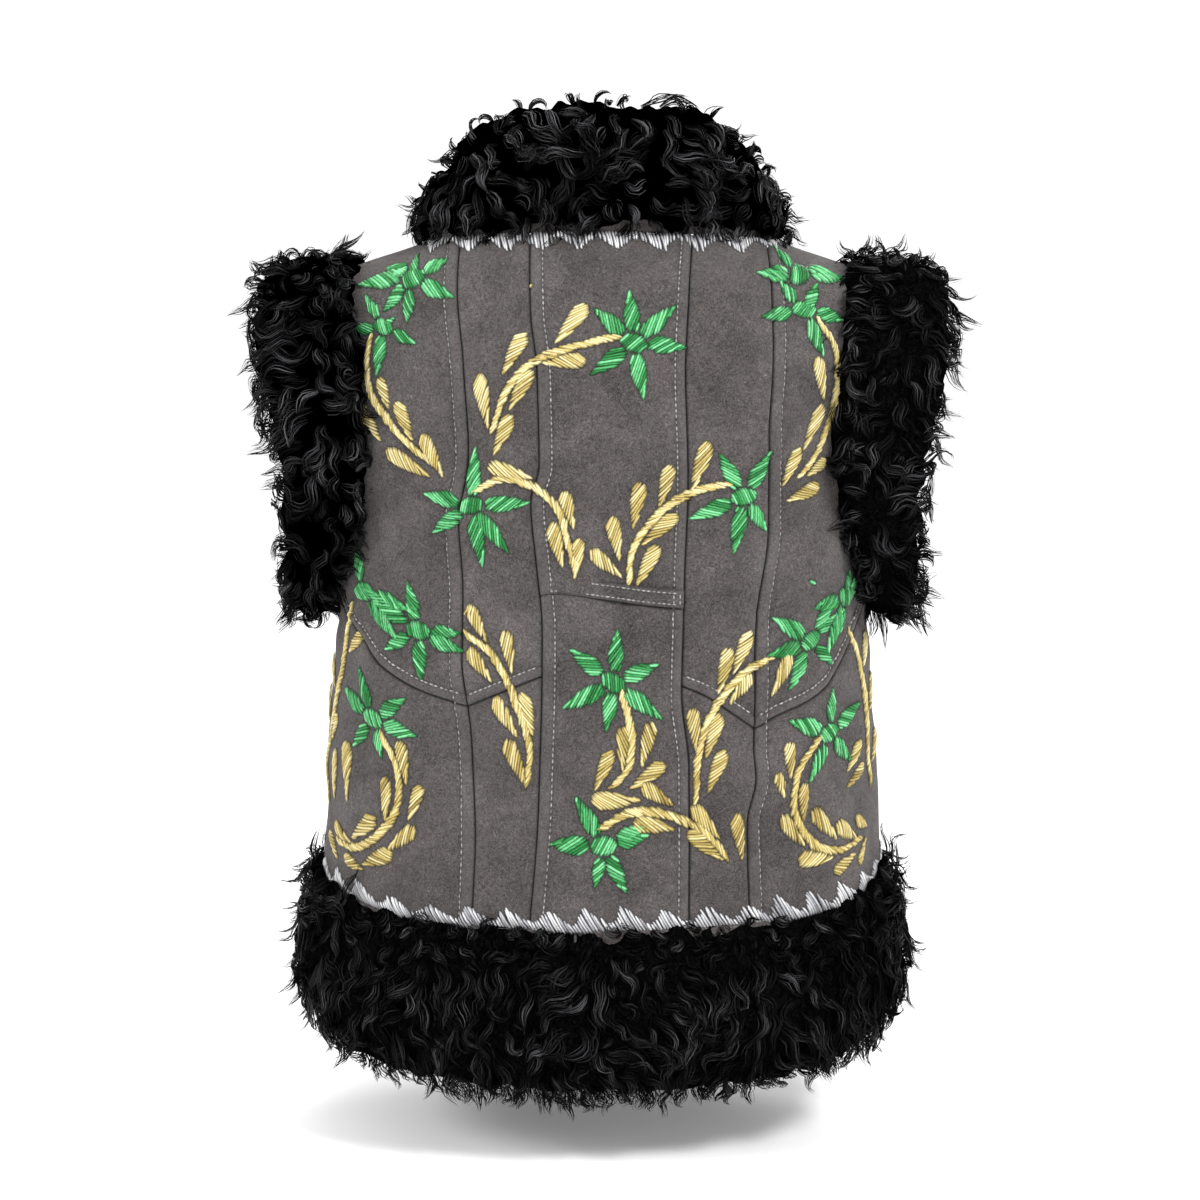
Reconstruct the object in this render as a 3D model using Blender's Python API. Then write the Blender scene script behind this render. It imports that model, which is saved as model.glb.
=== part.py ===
"""Embroidered sheepskin waistcoat, filled out as it is when worn, with nobody in it.

Frame: metres, +Z up, +X to the wearer's right, -Y out of the back, +Y out of the chest.
The origin is between the shoulders, at the height where the garment hangs from them.

The back and the front are two smooth forms. Each is a family of level curves (table rows
below) joined by a smooth curve up every column. A place on a form is (s, v): s runs from
-1 at the left side or armhole to +1 at the right one, and v is the height along the
cloth from the lower edge of the skirt, a millimetre or so to each. Every cut piece is an outline in (s, v), filled with
triangles and given the thickness of the skin. The fur trims are plain solids of the
fur's reach, swept along the edge that each is sewn to.
"""

import math

import bmesh
import bpy
import numpy as np
from mathutils import Vector
from mathutils.geometry import delaunay_2d_cdt

MM = 0.001

# ---- driving sizes, millimetres ------------------------------------------------------
SKIN = 3.0             # sheepskin, suede side out
SEAM_GAP = 0.4         # clear space between two cut pieces
FRONT_GAP = 3.0        # between the two fronts, which meet edge to edge
NECK_HALF = 126.0      # half of the neckline's width, at the shoulder seams
SHOULDER_HALF = 181.0  # half of the width across the shoulders
NECK_Z, SHOULDER_Z = 4.0, -15.0
BACK_NECK_RISE, BACK_NECK_DEPTH = 5.0, 66.0
FRONT_NECK_DROP, FRONT_NECK_DEPTH = 99.0, 98.0
SHOULDER_SEAM_Y = -3.0
V_HEM, V_UNDERARM, V_YOKE, V_TOP = 140.0, 335.0, 548.0, 596.0
NECK_SLOPE, SHOULDER_SLOPE = 52.0, 6.0   # degrees from level, of the cloth at the top
COLLAR_LIFT = 1.3      # clear of the panels that it is sewn to
TAB_HEIGHT, TAB_LIFT, TAB_THICK = 12.0, 0.4, 1.6
MESH = 27.0            # spacing of the triangles over a cut piece
GIRTH = 265.0          # millimetres of cloth that s runs over, about, for even triangles

# Level curves, in order up the garment. v is the height along the cloth, z_edge and
# z_mid the heights at the side and at the centre, half and depth the half-width and the
# depth of the curve, and n its squareness.
BACK = (
    # name           v     z_edge  z_mid   half   depth   n
    ("skirt",         0.0, -572.0, -604.0, 205.0, 121.0, 2.40),
    ("hem_seam",    140.0, -461.0, -482.0, 210.0, 119.0, 2.40),
    ("waist",       235.0, -357.0, -370.0, 205.0, 113.0, 2.40),
    ("underarm",    335.0, -250.0, -259.0, 194.0, 110.0, 2.35),
    ("armhole_lo",  378.0, -207.0, -213.0, 177.0, 109.0, 2.30),
    ("armhole_mid", 442.0, -143.0, -148.0, 169.0, 108.0, 2.30),
    ("blades",      502.0,  -83.0,  -85.0, 174.0, 104.0, 2.30),
    ("yoke",        548.0,  -41.0,  -37.0, 179.0,  93.0, 2.30),
)
FRONT = (
    ("skirt",         0.0, -572.0, -590.0, 205.0, 119.0, 2.40),
    ("hem_seam",    140.0, -461.0, -468.0, 210.0, 117.0, 2.40),
    ("waist",       235.0, -357.0, -366.0, 205.0, 111.0, 2.40),
    ("underarm",    335.0, -250.0, -268.0, 194.0, 108.0, 2.35),
    ("armhole_lo",  378.0, -207.0, -230.0, 177.0, 107.0, 2.30),
    ("armhole_mid", 442.0, -143.0, -178.0, 169.0, 106.0, 2.30),
    ("chest",       502.0,  -83.0, -138.0, 174.0, 104.0, 2.30),
    ("collarbone",  548.0,  -41.0, -112.0, 179.0, 101.0, 2.30),
)
# Half the front-to-back opening of an armhole, up its height. Below the first row it
# closes to nothing at the underarm, on a quarter of an ellipse.
ARMHOLE = (
    # v      half opening
    (378.0, 54.0),
    (442.0, 62.0),
    (502.0, 58.0),
    (548.0, 44.0),
)

# The four long seams of the back: v and x of each, from hem to neck.
SEAM_A = ((140, -93), (195, -91), (255, -93), (309, -100), (350, -99), (395, -101), (440, -94), (504, -97), (556, -102), (596, -101))
SEAM_B = ((140, -52), (219, -45), (327, -42), (370, -46), (411, -50), (438, -44), (499, -45), (540, -50), (596, -51))
SEAM_C = ((140, 62), (235, 62), (286, 56), (357, 58), (423, 60), (498, 58), (548, 60), (596, 64))
SEAM_D = ((140, 106), (200, 103), (228, 110), (250, 108), (300, 108), (335, 110), (387, 117), (447, 117), (533, 120), (596, 118))
# The shaped seams that cross them, each from one long seam to another: share of the way
# and height.
CROSS_CENTRE = ((0.0, 349.0), (0.1, 350.5), (0.45, 347.0), (0.75, 343.0), (1.0, 340.5))
CROSS_AB = ((0.0, 275.0), (0.5, 285.5), (1.0, 296.5))
CROSS_CD = ((0.0, 290.0), (0.3, 283.5), (0.65, 272.0), (1.0, 260.0))
# From the left armhole's foot down to seam A, and from seam D up to the right one's.
CROSS_LEFT = ((0.0, 334.0), (0.25, 326.0), (0.47, 310.0), (0.62, 294.0), (0.8, 282.5), (1.0, 275.0))
CROSS_RIGHT = ((0.0, 260.0), (0.12, 268.0), (0.29, 275.0), (0.4, 281.0), (0.52, 295.0), (0.7, 316.0), (1.0, 334.0))

# Fur: how far each trim reaches past the skin, as (share of its width, reach).
HEM_PROFILE = ((0.0, 3.0), (0.02, 17.0), (0.12, 26.0), (0.35, 32.0), (0.65, 34.0), (0.88, 29.0), (0.985, 14.0))
COLLAR = (
    # share of the way from centre back to centre front: its upper edge, x, y and z
    (0.00,  0.0, -52.0, 107.0),
    (0.25, 52.0, -43.0, 103.0),
    (0.45, 83.0, -14.0,  85.0),
    (0.60, 88.0,  20.0,  57.0),
    (0.80, 68.0,  83.0,  -9.0),
    (1.00,  4.0, 112.0, -40.0),
)
# Outwards from the middle of the fur, and share of the way up it.
COLLAR_SECTION = ((-7.0, 0.0), (14.0, 0.0), (24.0, 0.1), (28.0, 0.36), (25.0, 0.68), (15.0, 0.92), (1.0, 1.0), (-10.0, 0.9), (-14.0, 0.55), (-12.0, 0.15))
ARMHOLE_REACH = (
    # height on the armhole: reach outwards, fur beyond the edge
    (335.0, 38.0, 28.0),
    (350.0, 47.0, 30.0),
    (378.0, 58.0, 31.0),
    (442.0, 69.0, 31.0),
    (502.0, 79.0, 30.0),
    (548.0, 79.0, 24.0),
    (596.0, 66.0, 16.0),
)
ARMHOLE_DROOP = 8.0    # degrees that the trim falls from level
# Along the reach, and as a share of the fur beyond the edge.
ARMHOLE_SECTION = ((0.0, -0.10), (0.0, 0.35), (0.07, 0.8), (0.4, 1.0), (0.78, 0.95), (0.97, 0.6), (1.0, 0.2), (0.93, -0.12))


def smooth(table, at, column=1):
    """A smooth curve through the rows of a table, without overshoot between them."""
    xs = [row[0] for row in table]
    ys = [row[column] for row in table]
    at = min(max(at, xs[0]), xs[-1])
    k = max(i for i in range(len(xs) - 1) if xs[i] <= at or i == 0)
    slopes = [(ys[i + 1] - ys[i]) / (xs[i + 1] - xs[i]) for i in range(len(xs) - 1)]

    def tangent(i):
        if i == 0:
            return slopes[0]
        if i == len(xs) - 1:
            return slopes[-1]
        a, b = slopes[i - 1], slopes[i]
        return 0.0 if a * b <= 0 else 2 * a * b / (a + b)

    h = xs[k + 1] - xs[k]
    t = (at - xs[k]) / h
    return (
        (2 * t**3 - 3 * t**2 + 1) * ys[k]
        + (t**3 - 2 * t**2 + t) * h * tangent(k)
        + (-2 * t**3 + 3 * t**2) * ys[k + 1]
        + (t**3 - t**2) * h * tangent(k + 1)
    )


class Form:
    """One side of the garment, outer face of the skin. facing is -1 for the back."""

    def __init__(self, rows, facing):
        self.rows = [row[1:] for row in rows]
        self.facing = facing
        self.found = {}

    def curve(self, v):
        """The level curve at v: its two heights, depth, squareness, scale and end."""
        if v not in self.found:
            z_edge, z_mid, half, depth, n = (smooth(self.rows, v, i) for i in range(1, 6))
            edge = 0.0
            if v > V_UNDERARM:
                low = ARMHOLE[0][0]
                edge = smooth(ARMHOLE, v)
                if v < low:
                    edge *= math.sqrt(1 - ((low - v) / (low - V_UNDERARM)) ** 2)
            wide = half / (1 - (edge / depth) ** n) ** (1 / n)
            reach = math.asin(min(1.0, half / wide))
            self.found[v] = (z_edge, z_mid, depth, n, wide, reach)
        return self.found[v]

    def level(self, s, v):
        z_edge, z_mid, depth, n, wide, reach = self.curve(v)
        x = wide * math.sin(s * reach)
        y = depth * max(0.0, 1 - abs(x / wide) ** n) ** (1 / n)
        return np.array([x, self.facing * y, z_mid + (z_edge - z_mid) * s * s])

    def top(self, s):
        """Shoulder seam and neckline."""
        x = SHOULDER_HALF * s
        out = abs(x)
        if out >= NECK_HALF:
            t = (out - NECK_HALF) / (SHOULDER_HALF - NECK_HALF)
            return np.array([x, SHOULDER_SEAM_Y, NECK_Z + (SHOULDER_Z - NECK_Z) * t])
        q = out / NECK_HALF
        if self.facing < 0:
            y = SHOULDER_SEAM_Y - (BACK_NECK_DEPTH + SHOULDER_SEAM_Y) * (1 - q**2.2) ** (1 / 2.2)
            return np.array([x, y, NECK_Z + BACK_NECK_RISE * (1 - q * q)])
        y = SHOULDER_SEAM_Y + (FRONT_NECK_DEPTH - SHOULDER_SEAM_Y) * (1 - q**2.2) ** (1 / 2.2)
        return np.array([x, y, NECK_Z - FRONT_NECK_DROP * (1 - q**2.4) ** 0.8])

    def at(self, s, v):
        if v <= V_YOKE:
            return self.level(s, v)
        start, end = self.level(s, V_YOKE), self.top(s)
        span = np.linalg.norm(end - start)
        leave = self.level(s, V_YOKE) - self.level(s, V_YOKE - 2.0)
        leave = leave / np.linalg.norm(leave)
        q = min(1.0, abs(s) * SHOULDER_HALF / NECK_HALF)
        slope = math.radians(NECK_SLOPE + (SHOULDER_SLOPE - NECK_SLOPE) * q**3)
        arrive = np.array([0.0, -self.facing * math.cos(slope), math.sin(slope)])
        t = (v - V_YOKE) / (V_TOP - V_YOKE)
        return (
            (2 * t**3 - 3 * t**2 + 1) * start
            + (t**3 - 2 * t**2 + t) * span * leave
            + (-2 * t**3 + 3 * t**2) * end
            + (t**3 - t**2) * span * arrive
        )

    def slopes(self, s, v):
        ds, dv = 0.004, 1.0
        s0, s1 = max(s - ds, -1.0), min(s + ds, 1.0)
        v0, v1 = max(v - dv, 0.0), min(v + dv, V_TOP)
        along = (self.at(s1, v) - self.at(s0, v)) / (s1 - s0)
        up = (self.at(s, v1) - self.at(s, v0)) / (v1 - v0)
        return along, up

    def normal(self, s, v):
        """Out of the garment."""
        along, up = self.slopes(s, v)
        n = np.cross(along, up) * -self.facing
        return n / np.linalg.norm(n)

    def s_of(self, x, v):
        """The s at which the form has this x, at height v."""
        low, high = -1.0, 1.0
        for _ in range(40):
            mid = (low + high) / 2
            if self.at(mid, v)[0] < x:
                low = mid
            else:
                high = mid
        return (low + high) / 2


back, front = Form(BACK, -1), Form(FRONT, 1)


def inward(form, s, v):
    """From the outer face to the inner one, for a skin 1 mm thick. Back and front share
    it along the shoulder seam, so that they meet on a mitre."""
    own = form.normal(s, v)
    if v < V_TOP - 2.0 or abs(s) < NECK_HALF / SHOULDER_HALF - 1e-6:
        return -own
    shared = back.normal(s, v) + front.normal(s, v)
    shared = shared / np.linalg.norm(shared)
    return -shared / max(0.6, float(np.dot(shared, own)))


# ---- seams as curves in (s, v) -------------------------------------------------------
def long_seam(table):
    return lambda v: back.s_of(smooth(table, v), v)


def edge(s):
    return lambda v: s


def cross_seam(table, left, right):
    """A seam from one long seam to another, as samples of (s, v)."""
    start, end = left(table[0][1]), right(table[-1][1])
    count = max(3, int(math.ceil(abs(end - start) * GIRTH / 22.0)))
    return [
        (start + (end - start) * i / count, smooth(table, i / count))
        for i in range(count + 1)
    ]


def level_line(v, left, right, spacing=18.0):
    start, end = left(v), right(v)
    count = max(2, int(math.ceil(abs(end - start) * GIRTH / spacing)))
    return [(start + (end - start) * i / count, v) for i in range(count + 1)]


a, b, c, d = (long_seam(t) for t in (SEAM_A, SEAM_B, SEAM_C, SEAM_D))
left_edge, right_edge = edge(-1.0), edge(1.0)
cross_centre = cross_seam(CROSS_CENTRE, b, c)
cross_ab = cross_seam(CROSS_AB, a, b)
cross_cd = cross_seam(CROSS_CD, c, d)
cross_left = cross_seam(CROSS_LEFT, left_edge, a)
cross_right = cross_seam(CROSS_RIGHT, d, right_edge)

ARMHOLE_LEVELS = [round(V_UNDERARM + (V_TOP - V_UNDERARM) * (1 - math.cos(math.pi * i / 12)) / 2, 3) for i in range(13)]
# Heights at which every long seam has a corner, so that neighbours' edges lie together.
LEVELS = sorted(
    {round(V_HEM + i * (V_UNDERARM - V_HEM) / 7, 3) for i in range(8)}
    | set(ARMHOLE_LEVELS)
    | {line[i][1] for line in (cross_centre, cross_ab, cross_cd, cross_left, cross_right) for i in (0, -1)}
)


def up_seam(seam, low, high):
    """Points up a long seam, from height low to height high, corners included."""
    return [(seam(v), v) for v in [low] + [x for x in LEVELS if low + 0.5 < x < high - 0.5] + [high]]


# ---- pieces --------------------------------------------------------------------------
def material(name, colour, roughness):
    made = bpy.data.materials.new(name)
    made.use_nodes = True
    shader = made.node_tree.nodes["Principled BSDF"]
    shader.inputs["Base Color"].default_value = (*colour, 1.0)
    shader.inputs["Roughness"].default_value = roughness
    shader.inputs["Metallic"].default_value = 0.0
    made.diffuse_color = (*colour, 1.0)
    return made


def place(name, made, points, faces, centre_mm):
    """An object from points in millimetres, with its origin at centre_mm."""
    mesh = bpy.data.meshes.new(name)
    mesh.from_pydata([tuple((np.array(p) - centre_mm) * MM) for p in points], [], faces)
    build = bmesh.new()
    build.from_mesh(mesh)
    bmesh.ops.recalc_face_normals(build, faces=build.faces)
    if build.calc_volume(signed=True) < 0:
        bmesh.ops.reverse_faces(build, faces=build.faces)
    build.to_mesh(mesh)
    build.free()
    mesh.shade_smooth()
    mesh.set_sharp_from_angle(angle=math.radians(50))
    mesh.materials.append(made)
    obj = bpy.data.objects.new(name, mesh)
    obj.location = Vector(centre_mm) * MM
    obj.parent = garment
    bpy.context.scene.collection.objects.link(obj)
    return obj


def inside(point, outline, clear):
    """Whether a point of the flat outline lies in it, clear of its edge by that much."""
    hit = False
    for p, q in zip(outline, outline[1:] + outline[:1]):
        if (p[1] > point[1]) != (q[1] > point[1]):
            if point[0] < p[0] + (point[1] - p[1]) * (q[0] - p[0]) / (q[1] - p[1]):
                hit = not hit
        e = np.subtract(q, p)
        t = np.clip(np.dot(np.subtract(point, p), e) / max(np.dot(e, e), 1e-9), 0, 1)
        if np.linalg.norm(np.subtract(point, np.add(p, t * e))) < clear:
            return False
    return hit


def cut_piece(name, made, form, bottom, right, top, left, out=0.0, thick=SKIN, gaps=(1, 1, 1, 1)):
    """A panel of skin. Its four sides are lists of (s, v): bottom and top from left to
    right, left and right from low to high. out moves it off the form, and gaps says how
    many half seam gaps each side is drawn in by."""
    sides = (
        [(p, (0, 1), gaps[0]) for p in bottom],
        [(p, (-1, 0), gaps[1]) for p in right],
        [(p, (0, -1), gaps[2]) for p in reversed(top)],
        [(p, (1, 0), gaps[3]) for p in reversed(left)],
    )
    ring = []
    for k, side in enumerate(sides):
        last_way, last_gap = sides[k - 1][-1][1], sides[k - 1][-1][2]
        for i, ((s, v), way, gap) in enumerate(side[:-1]):
            along, up = form.slopes(s, v)
            ds = SEAM_GAP / 2 / np.linalg.norm(along)
            dv = SEAM_GAP / 2 / np.linalg.norm(up)
            move = np.array(way) * gap
            if i == 0:
                move = move + np.array(last_way) * last_gap
            ring.append((s + move[0] * ds, v + move[1] * dv))
    flat = [(s * GIRTH, v) for s, v in ring]
    if sum(p[0] * q[1] - q[0] * p[1] for p, q in zip(flat, flat[1:] + flat[:1])) < 0:
        flat.reverse()
    us, vs = [p[0] for p in flat], [p[1] for p in flat]
    grid = []
    rows = int((max(vs) - min(vs)) / (MESH * 0.87)) + 1
    for j in range(1, rows):
        v = min(vs) + (max(vs) - min(vs)) * j / rows
        columns = int((max(us) - min(us)) / MESH) + 2
        for i in range(columns):
            u = min(us) + (max(us) - min(us)) * (i + (0.5 if j % 2 else 0.0)) / columns
            if inside((u, v), flat, MESH * 0.42):
                grid.append((u, v))
    placed = [Vector(p) for p in flat + grid]
    spots, _, faces, *_ = delaunay_2d_cdt(placed, [], [list(range(len(flat)))], 1, 1e-6)
    spots = [(p.x / GIRTH, p.y) for p in spots]
    rim = len(flat)
    outer = [form.at(s, v) + form.normal(s, v) * out for s, v in spots]
    inner = [p + inward(form, s, v) * thick for p, (s, v) in zip(outer, spots)]
    n = len(outer)
    skin = [list(f) for f in faces]
    skin += [[i + n for i in reversed(f)] for f in faces]
    skin += [[i, (i + 1) % rim, (i + 1) % rim + n, i + n] for i in range(rim)]
    centre = np.mean(outer, axis=0)
    return place(name, made, outer + inner, skin, centre)


def sweep(name, made, sections, closed):
    """A solid through rings of points, capped at both ends unless it closes on itself."""
    n = len(sections[0])
    points = [p for section in sections for p in section]
    faces = []
    count = len(sections)
    for i in range(count if closed else count - 1):
        for j in range(n):
            k, m = (i + 1) % count, (j + 1) % n
            faces.append([i * n + j, i * n + m, k * n + m, k * n + j])
    if not closed:
        faces.append(list(range(n)))
        faces.append([(count - 1) * n + j for j in reversed(range(n))])
    return place(name, made, points, faces, np.mean(points, axis=0))


for old in list(bpy.data.objects):
    bpy.data.objects.remove(old, do_unlink=True)

garment = bpy.data.objects.new("waistcoat", None)
bpy.context.scene.collection.objects.link(garment)

suede = material("suede", (0.105, 0.095, 0.092), 0.92)
fur = material("fur", (0.008, 0.008, 0.009), 0.6)

hem_v, top_v = V_HEM, V_TOP


def strip(name, seam_left, seam_right, bottom, top):
    """A panel between two long seams; bottom and top are samples across it."""
    return cut_piece(
        name, suede, back, bottom,
        up_seam(seam_right, bottom[-1][1], top[-1][1]),
        top,
        up_seam(seam_left, bottom[0][1], top[0][1]),
    )


strip("back_centre_lower", b, c, level_line(hem_v, b, c), cross_centre)
strip("back_centre_upper", b, c, cross_centre, level_line(top_v, b, c))
strip("back_inner_left_lower", a, b, level_line(hem_v, a, b), cross_ab)
strip("back_inner_left_upper", a, b, cross_ab, level_line(top_v, a, b))
strip("back_inner_right_lower", c, d, level_line(hem_v, c, d), cross_cd)
strip("back_inner_right_upper", c, d, cross_cd, level_line(top_v, c, d))


def shoulder_top(left, right):
    """The top of an outer panel: shoulder seam, and the end of the neckline in it."""
    line = level_line(V_TOP, left, right)
    corner = NECK_HALF / SHOULDER_HALF
    for sign in (-1, 1):
        near = min(range(len(line)), key=lambda i: abs(line[i][0] - sign * corner))
        if 0 < near < len(line) - 1:
            line[near] = (sign * corner, V_TOP)
    return line


strip("back_outer_left_upper", left_edge, a, cross_left, shoulder_top(left_edge, a))
strip("back_outer_right_upper", d, right_edge, cross_right, shoulder_top(d, right_edge))
strip("side_left", left_edge, a, level_line(hem_v, left_edge, a), cross_left)
strip("side_right", d, right_edge, level_line(hem_v, d, right_edge), cross_right)


def tab():
    """The stitched-down strap across the centre back, laid on the seam of the centre
    panels. It is made from the panels' own points, moved out."""
    low, high = [], []
    for s, v in cross_centre:
        low.append((s, v - 0.5))
        high.append((s, v - 0.5 + TAB_HEIGHT))
    return cut_piece(
        "back_tab", suede, back, low, [low[-1], high[-1]], high, [low[0], high[0]],
        out=TAB_LIFT + TAB_THICK, thick=TAB_THICK, gaps=(0, 2, 0, 2),
    )


tab()


def front_piece(name, side):
    """One front, from the side seam or armhole to the front edge."""
    half_gap = FRONT_GAP / 2

    def middle(v):
        return side * abs(front.s_of(half_gap, v))

    outer = edge(float(side))
    left, right = (outer, middle) if side < 0 else (middle, outer)
    line = level_line(V_TOP, left, right)
    # the shoulder seam shares the back's corners, and the neckline has its own
    corner = side * NECK_HALF / SHOULDER_HALF
    shoulder = [p for p in (shoulder_top(left_edge, a) if side < 0 else shoulder_top(d, right_edge)) if abs(p[0]) >= abs(corner) - 1e-9]
    count = 9
    neck = [(middle(V_TOP) + (corner - middle(V_TOP)) * i / count, V_TOP) for i in range(count + 1)]
    if side < 0:
        line = shoulder + list(reversed(neck))[1:]
    else:
        line = neck[:-1] + shoulder
    bottom = level_line(V_HEM, left, right)
    return cut_piece(
        name, suede, front, bottom,
        up_seam(right, V_HEM, V_TOP), line, up_seam(left, V_HEM, V_TOP),
    )


front_piece("front_left", -1)
front_piece("front_right", 1)


# ---- fur trims -----------------------------------------------------------------------
def hem_trim(name, form, start, end, stations):
    """The band round the hem, from s = start to s = end."""
    sections = []
    for i in range(stations + 1):
        s = start + (end - start) * i / stations
        section = []
        for share, reach in HEM_PROFILE:
            v = share * V_HEM
            section.append(form.at(s, v) + form.normal(s, v) * reach)
        top = V_HEM - SEAM_GAP / 2
        section.append(form.at(s, top) + form.normal(s, top) * 2.5)
        for v in (top, V_HEM * 0.5, 0.0):
            section.append(form.at(s, v) - form.normal(s, v) * SKIN)
        sections.append(section)
    return sweep(name, fur, sections, False)


side_gap = SEAM_GAP / 2 / 300.0
front_gap = abs(front.s_of(FRONT_GAP / 2, 70.0))
hem_trim("hem_fur_back", back, -1 + side_gap, 1 - side_gap, 26)
hem_trim("hem_fur_front_left", front, -1 + side_gap, -front_gap, 13)
hem_trim("hem_fur_front_right", front, front_gap, 1 - side_gap, 13)


def neckline(t):
    """Point of the neckline, t from -1 at the left front edge, 0 at centre back, to 1."""
    way, turn = abs(t), 0.47
    side = math.copysign(1.0, t) if t else 1.0
    if way <= turn:
        q = math.sin(way / turn * math.pi / 2)
        return back.top(side * q * NECK_HALF / SHOULDER_HALF)
    angle = (way - turn) / (1 - turn) * math.pi / 2
    least = FRONT_GAP / 2 / NECK_HALF
    q = max(math.cos(angle), least)
    return front.top(side * q * NECK_HALF / SHOULDER_HALF)


def upper_edge(t):
    """Upper edge of the collar, t as in neckline."""
    way = abs(t)
    side = -1.0 if t < 0 else 1.0
    return np.array([side * smooth(COLLAR, way, 1), smooth(COLLAR, way, 2), smooth(COLLAR, way, 3)])


def outwards(curve, t):
    """Level way out of a curve round the neck."""
    if abs(t) > 0.985:
        return np.array([0.0, 1.0, 0.0])
    along = curve(t + 0.012) - curve(t - 0.012)
    out = np.array([along[1], -along[0], 0.0])
    return out / np.linalg.norm(out)


def collar():
    sections = []
    stations = 36
    for i in range(stations + 1):
        t = -1 + 2 * i / stations
        low, high = neckline(t), upper_edge(t)
        low_out, high_out = outwards(neckline, t), outwards(upper_edge, t)
        lift = np.array([0.0, 0.0, COLLAR_LIFT])
        sections.append([
            low + lift + (high - low) * u + (low_out * (1 - u) + high_out * u) * o
            for o, u in COLLAR_SECTION
        ])
    return sweep("collar_fur", fur, sections, False)


collar()


def armhole_trim(name, side):
    """The fur round an armhole, swept along the armhole's edge."""
    steps = [v for v in ARMHOLE_LEVELS]
    loop = [(back.at(side, v), v) for v in steps]
    loop += [(front.at(side, v), v) for v in reversed(steps[1:-1])]
    ring = np.array([p for p, _ in loop])
    centre = (ring.max(axis=0) + ring.min(axis=0)) / 2
    half = (ring.max(axis=0) - ring.min(axis=0)) / 2
    droop = math.radians(ARMHOLE_DROOP)
    lateral = np.array([side * math.cos(droop), 0.0, -math.sin(droop)])
    sections = []
    for p, v in loop:
        # the way out of the armhole's oval
        away = np.array([0.0, (p[1] - centre[1]) / half[1] ** 2, (p[2] - centre[2]) / half[2] ** 2])
        away = away / np.linalg.norm(away)
        reach, beyond = smooth(ARMHOLE_REACH, v), smooth(ARMHOLE_REACH, v, 2)
        sections.append([
            p + np.array([side * 0.6, 0.0, 0.0]) + lateral * (reach * share + 0.25 * max(out, 0.0) * beyond * (1 - share))
            + away * out * beyond
            for share, out in ARMHOLE_SECTION
        ])
    return sweep(name, fur, sections, True)


armhole_trim("armhole_fur_left", -1)
armhole_trim("armhole_fur_right", 1)
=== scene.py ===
"""Looks of the embroidered sheepskin waistcoat: suede panels with their seams, topstitching,
satin-stitch embroidery, white scalloped stitching, and curly fur trims.

Sizes are in millimetres until a mesh is written. A place on the cloth is (x, v): x is the
length of cloth from the centre of the back (or front) at that level, and v is the height
along the cloth from the lower edge of the skirt.
"""
import json
import math

import bpy
import numpy as np
from mathutils.kdtree import KDTree
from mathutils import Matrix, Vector


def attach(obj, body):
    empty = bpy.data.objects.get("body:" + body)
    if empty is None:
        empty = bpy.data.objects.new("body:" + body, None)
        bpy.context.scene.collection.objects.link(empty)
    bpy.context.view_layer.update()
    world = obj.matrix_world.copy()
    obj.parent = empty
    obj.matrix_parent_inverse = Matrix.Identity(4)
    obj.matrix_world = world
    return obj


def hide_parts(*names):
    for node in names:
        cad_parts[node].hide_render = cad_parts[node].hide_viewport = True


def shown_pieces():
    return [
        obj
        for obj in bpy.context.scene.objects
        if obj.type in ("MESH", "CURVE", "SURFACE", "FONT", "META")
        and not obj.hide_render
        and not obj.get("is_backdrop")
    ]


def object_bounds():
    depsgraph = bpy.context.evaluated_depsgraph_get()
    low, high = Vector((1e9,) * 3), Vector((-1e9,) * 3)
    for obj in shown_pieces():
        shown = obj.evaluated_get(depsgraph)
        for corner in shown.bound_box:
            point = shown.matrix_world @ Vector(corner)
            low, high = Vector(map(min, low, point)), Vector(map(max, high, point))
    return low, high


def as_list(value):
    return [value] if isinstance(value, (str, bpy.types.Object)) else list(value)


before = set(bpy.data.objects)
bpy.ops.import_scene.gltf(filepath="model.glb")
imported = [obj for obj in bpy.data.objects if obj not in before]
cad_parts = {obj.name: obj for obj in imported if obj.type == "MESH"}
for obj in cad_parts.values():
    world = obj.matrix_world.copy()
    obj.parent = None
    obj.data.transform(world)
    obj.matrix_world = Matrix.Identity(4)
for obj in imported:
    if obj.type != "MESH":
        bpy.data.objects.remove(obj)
cad_low, cad_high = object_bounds()

MM = 0.001
SKIN = 2.8

# ---- the garment's form, as in the CAD -------------------------------------------------
NECK_HALF, SHOULDER_HALF = 126.0, 181.0
NECK_Z, SHOULDER_Z = 4.0, -15.0
BACK_NECK_RISE, BACK_NECK_DEPTH = 5.0, 66.0
FRONT_NECK_DROP, FRONT_NECK_DEPTH = 99.0, 98.0
SHOULDER_SEAM_Y = -3.0
V_HEM, V_UNDERARM, V_YOKE, V_TOP = 140.0, 335.0, 548.0, 596.0
NECK_SLOPE, SHOULDER_SLOPE = 52.0, 6.0
BACK = (
    # name           v     z_edge  z_mid   half   depth   n
    ("skirt",         0.0, -572.0, -604.0, 205.0, 121.0, 2.40),
    ("hem_seam",    140.0, -461.0, -482.0, 210.0, 119.0, 2.40),
    ("waist",       235.0, -357.0, -370.0, 205.0, 113.0, 2.40),
    ("underarm",    335.0, -250.0, -259.0, 194.0, 110.0, 2.35),
    ("armhole_lo",  378.0, -207.0, -213.0, 177.0, 109.0, 2.30),
    ("armhole_mid", 442.0, -143.0, -148.0, 169.0, 108.0, 2.30),
    ("blades",      502.0,  -83.0,  -85.0, 174.0, 104.0, 2.30),
    ("yoke",        548.0,  -41.0,  -37.0, 179.0,  93.0, 2.30),
)
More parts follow.
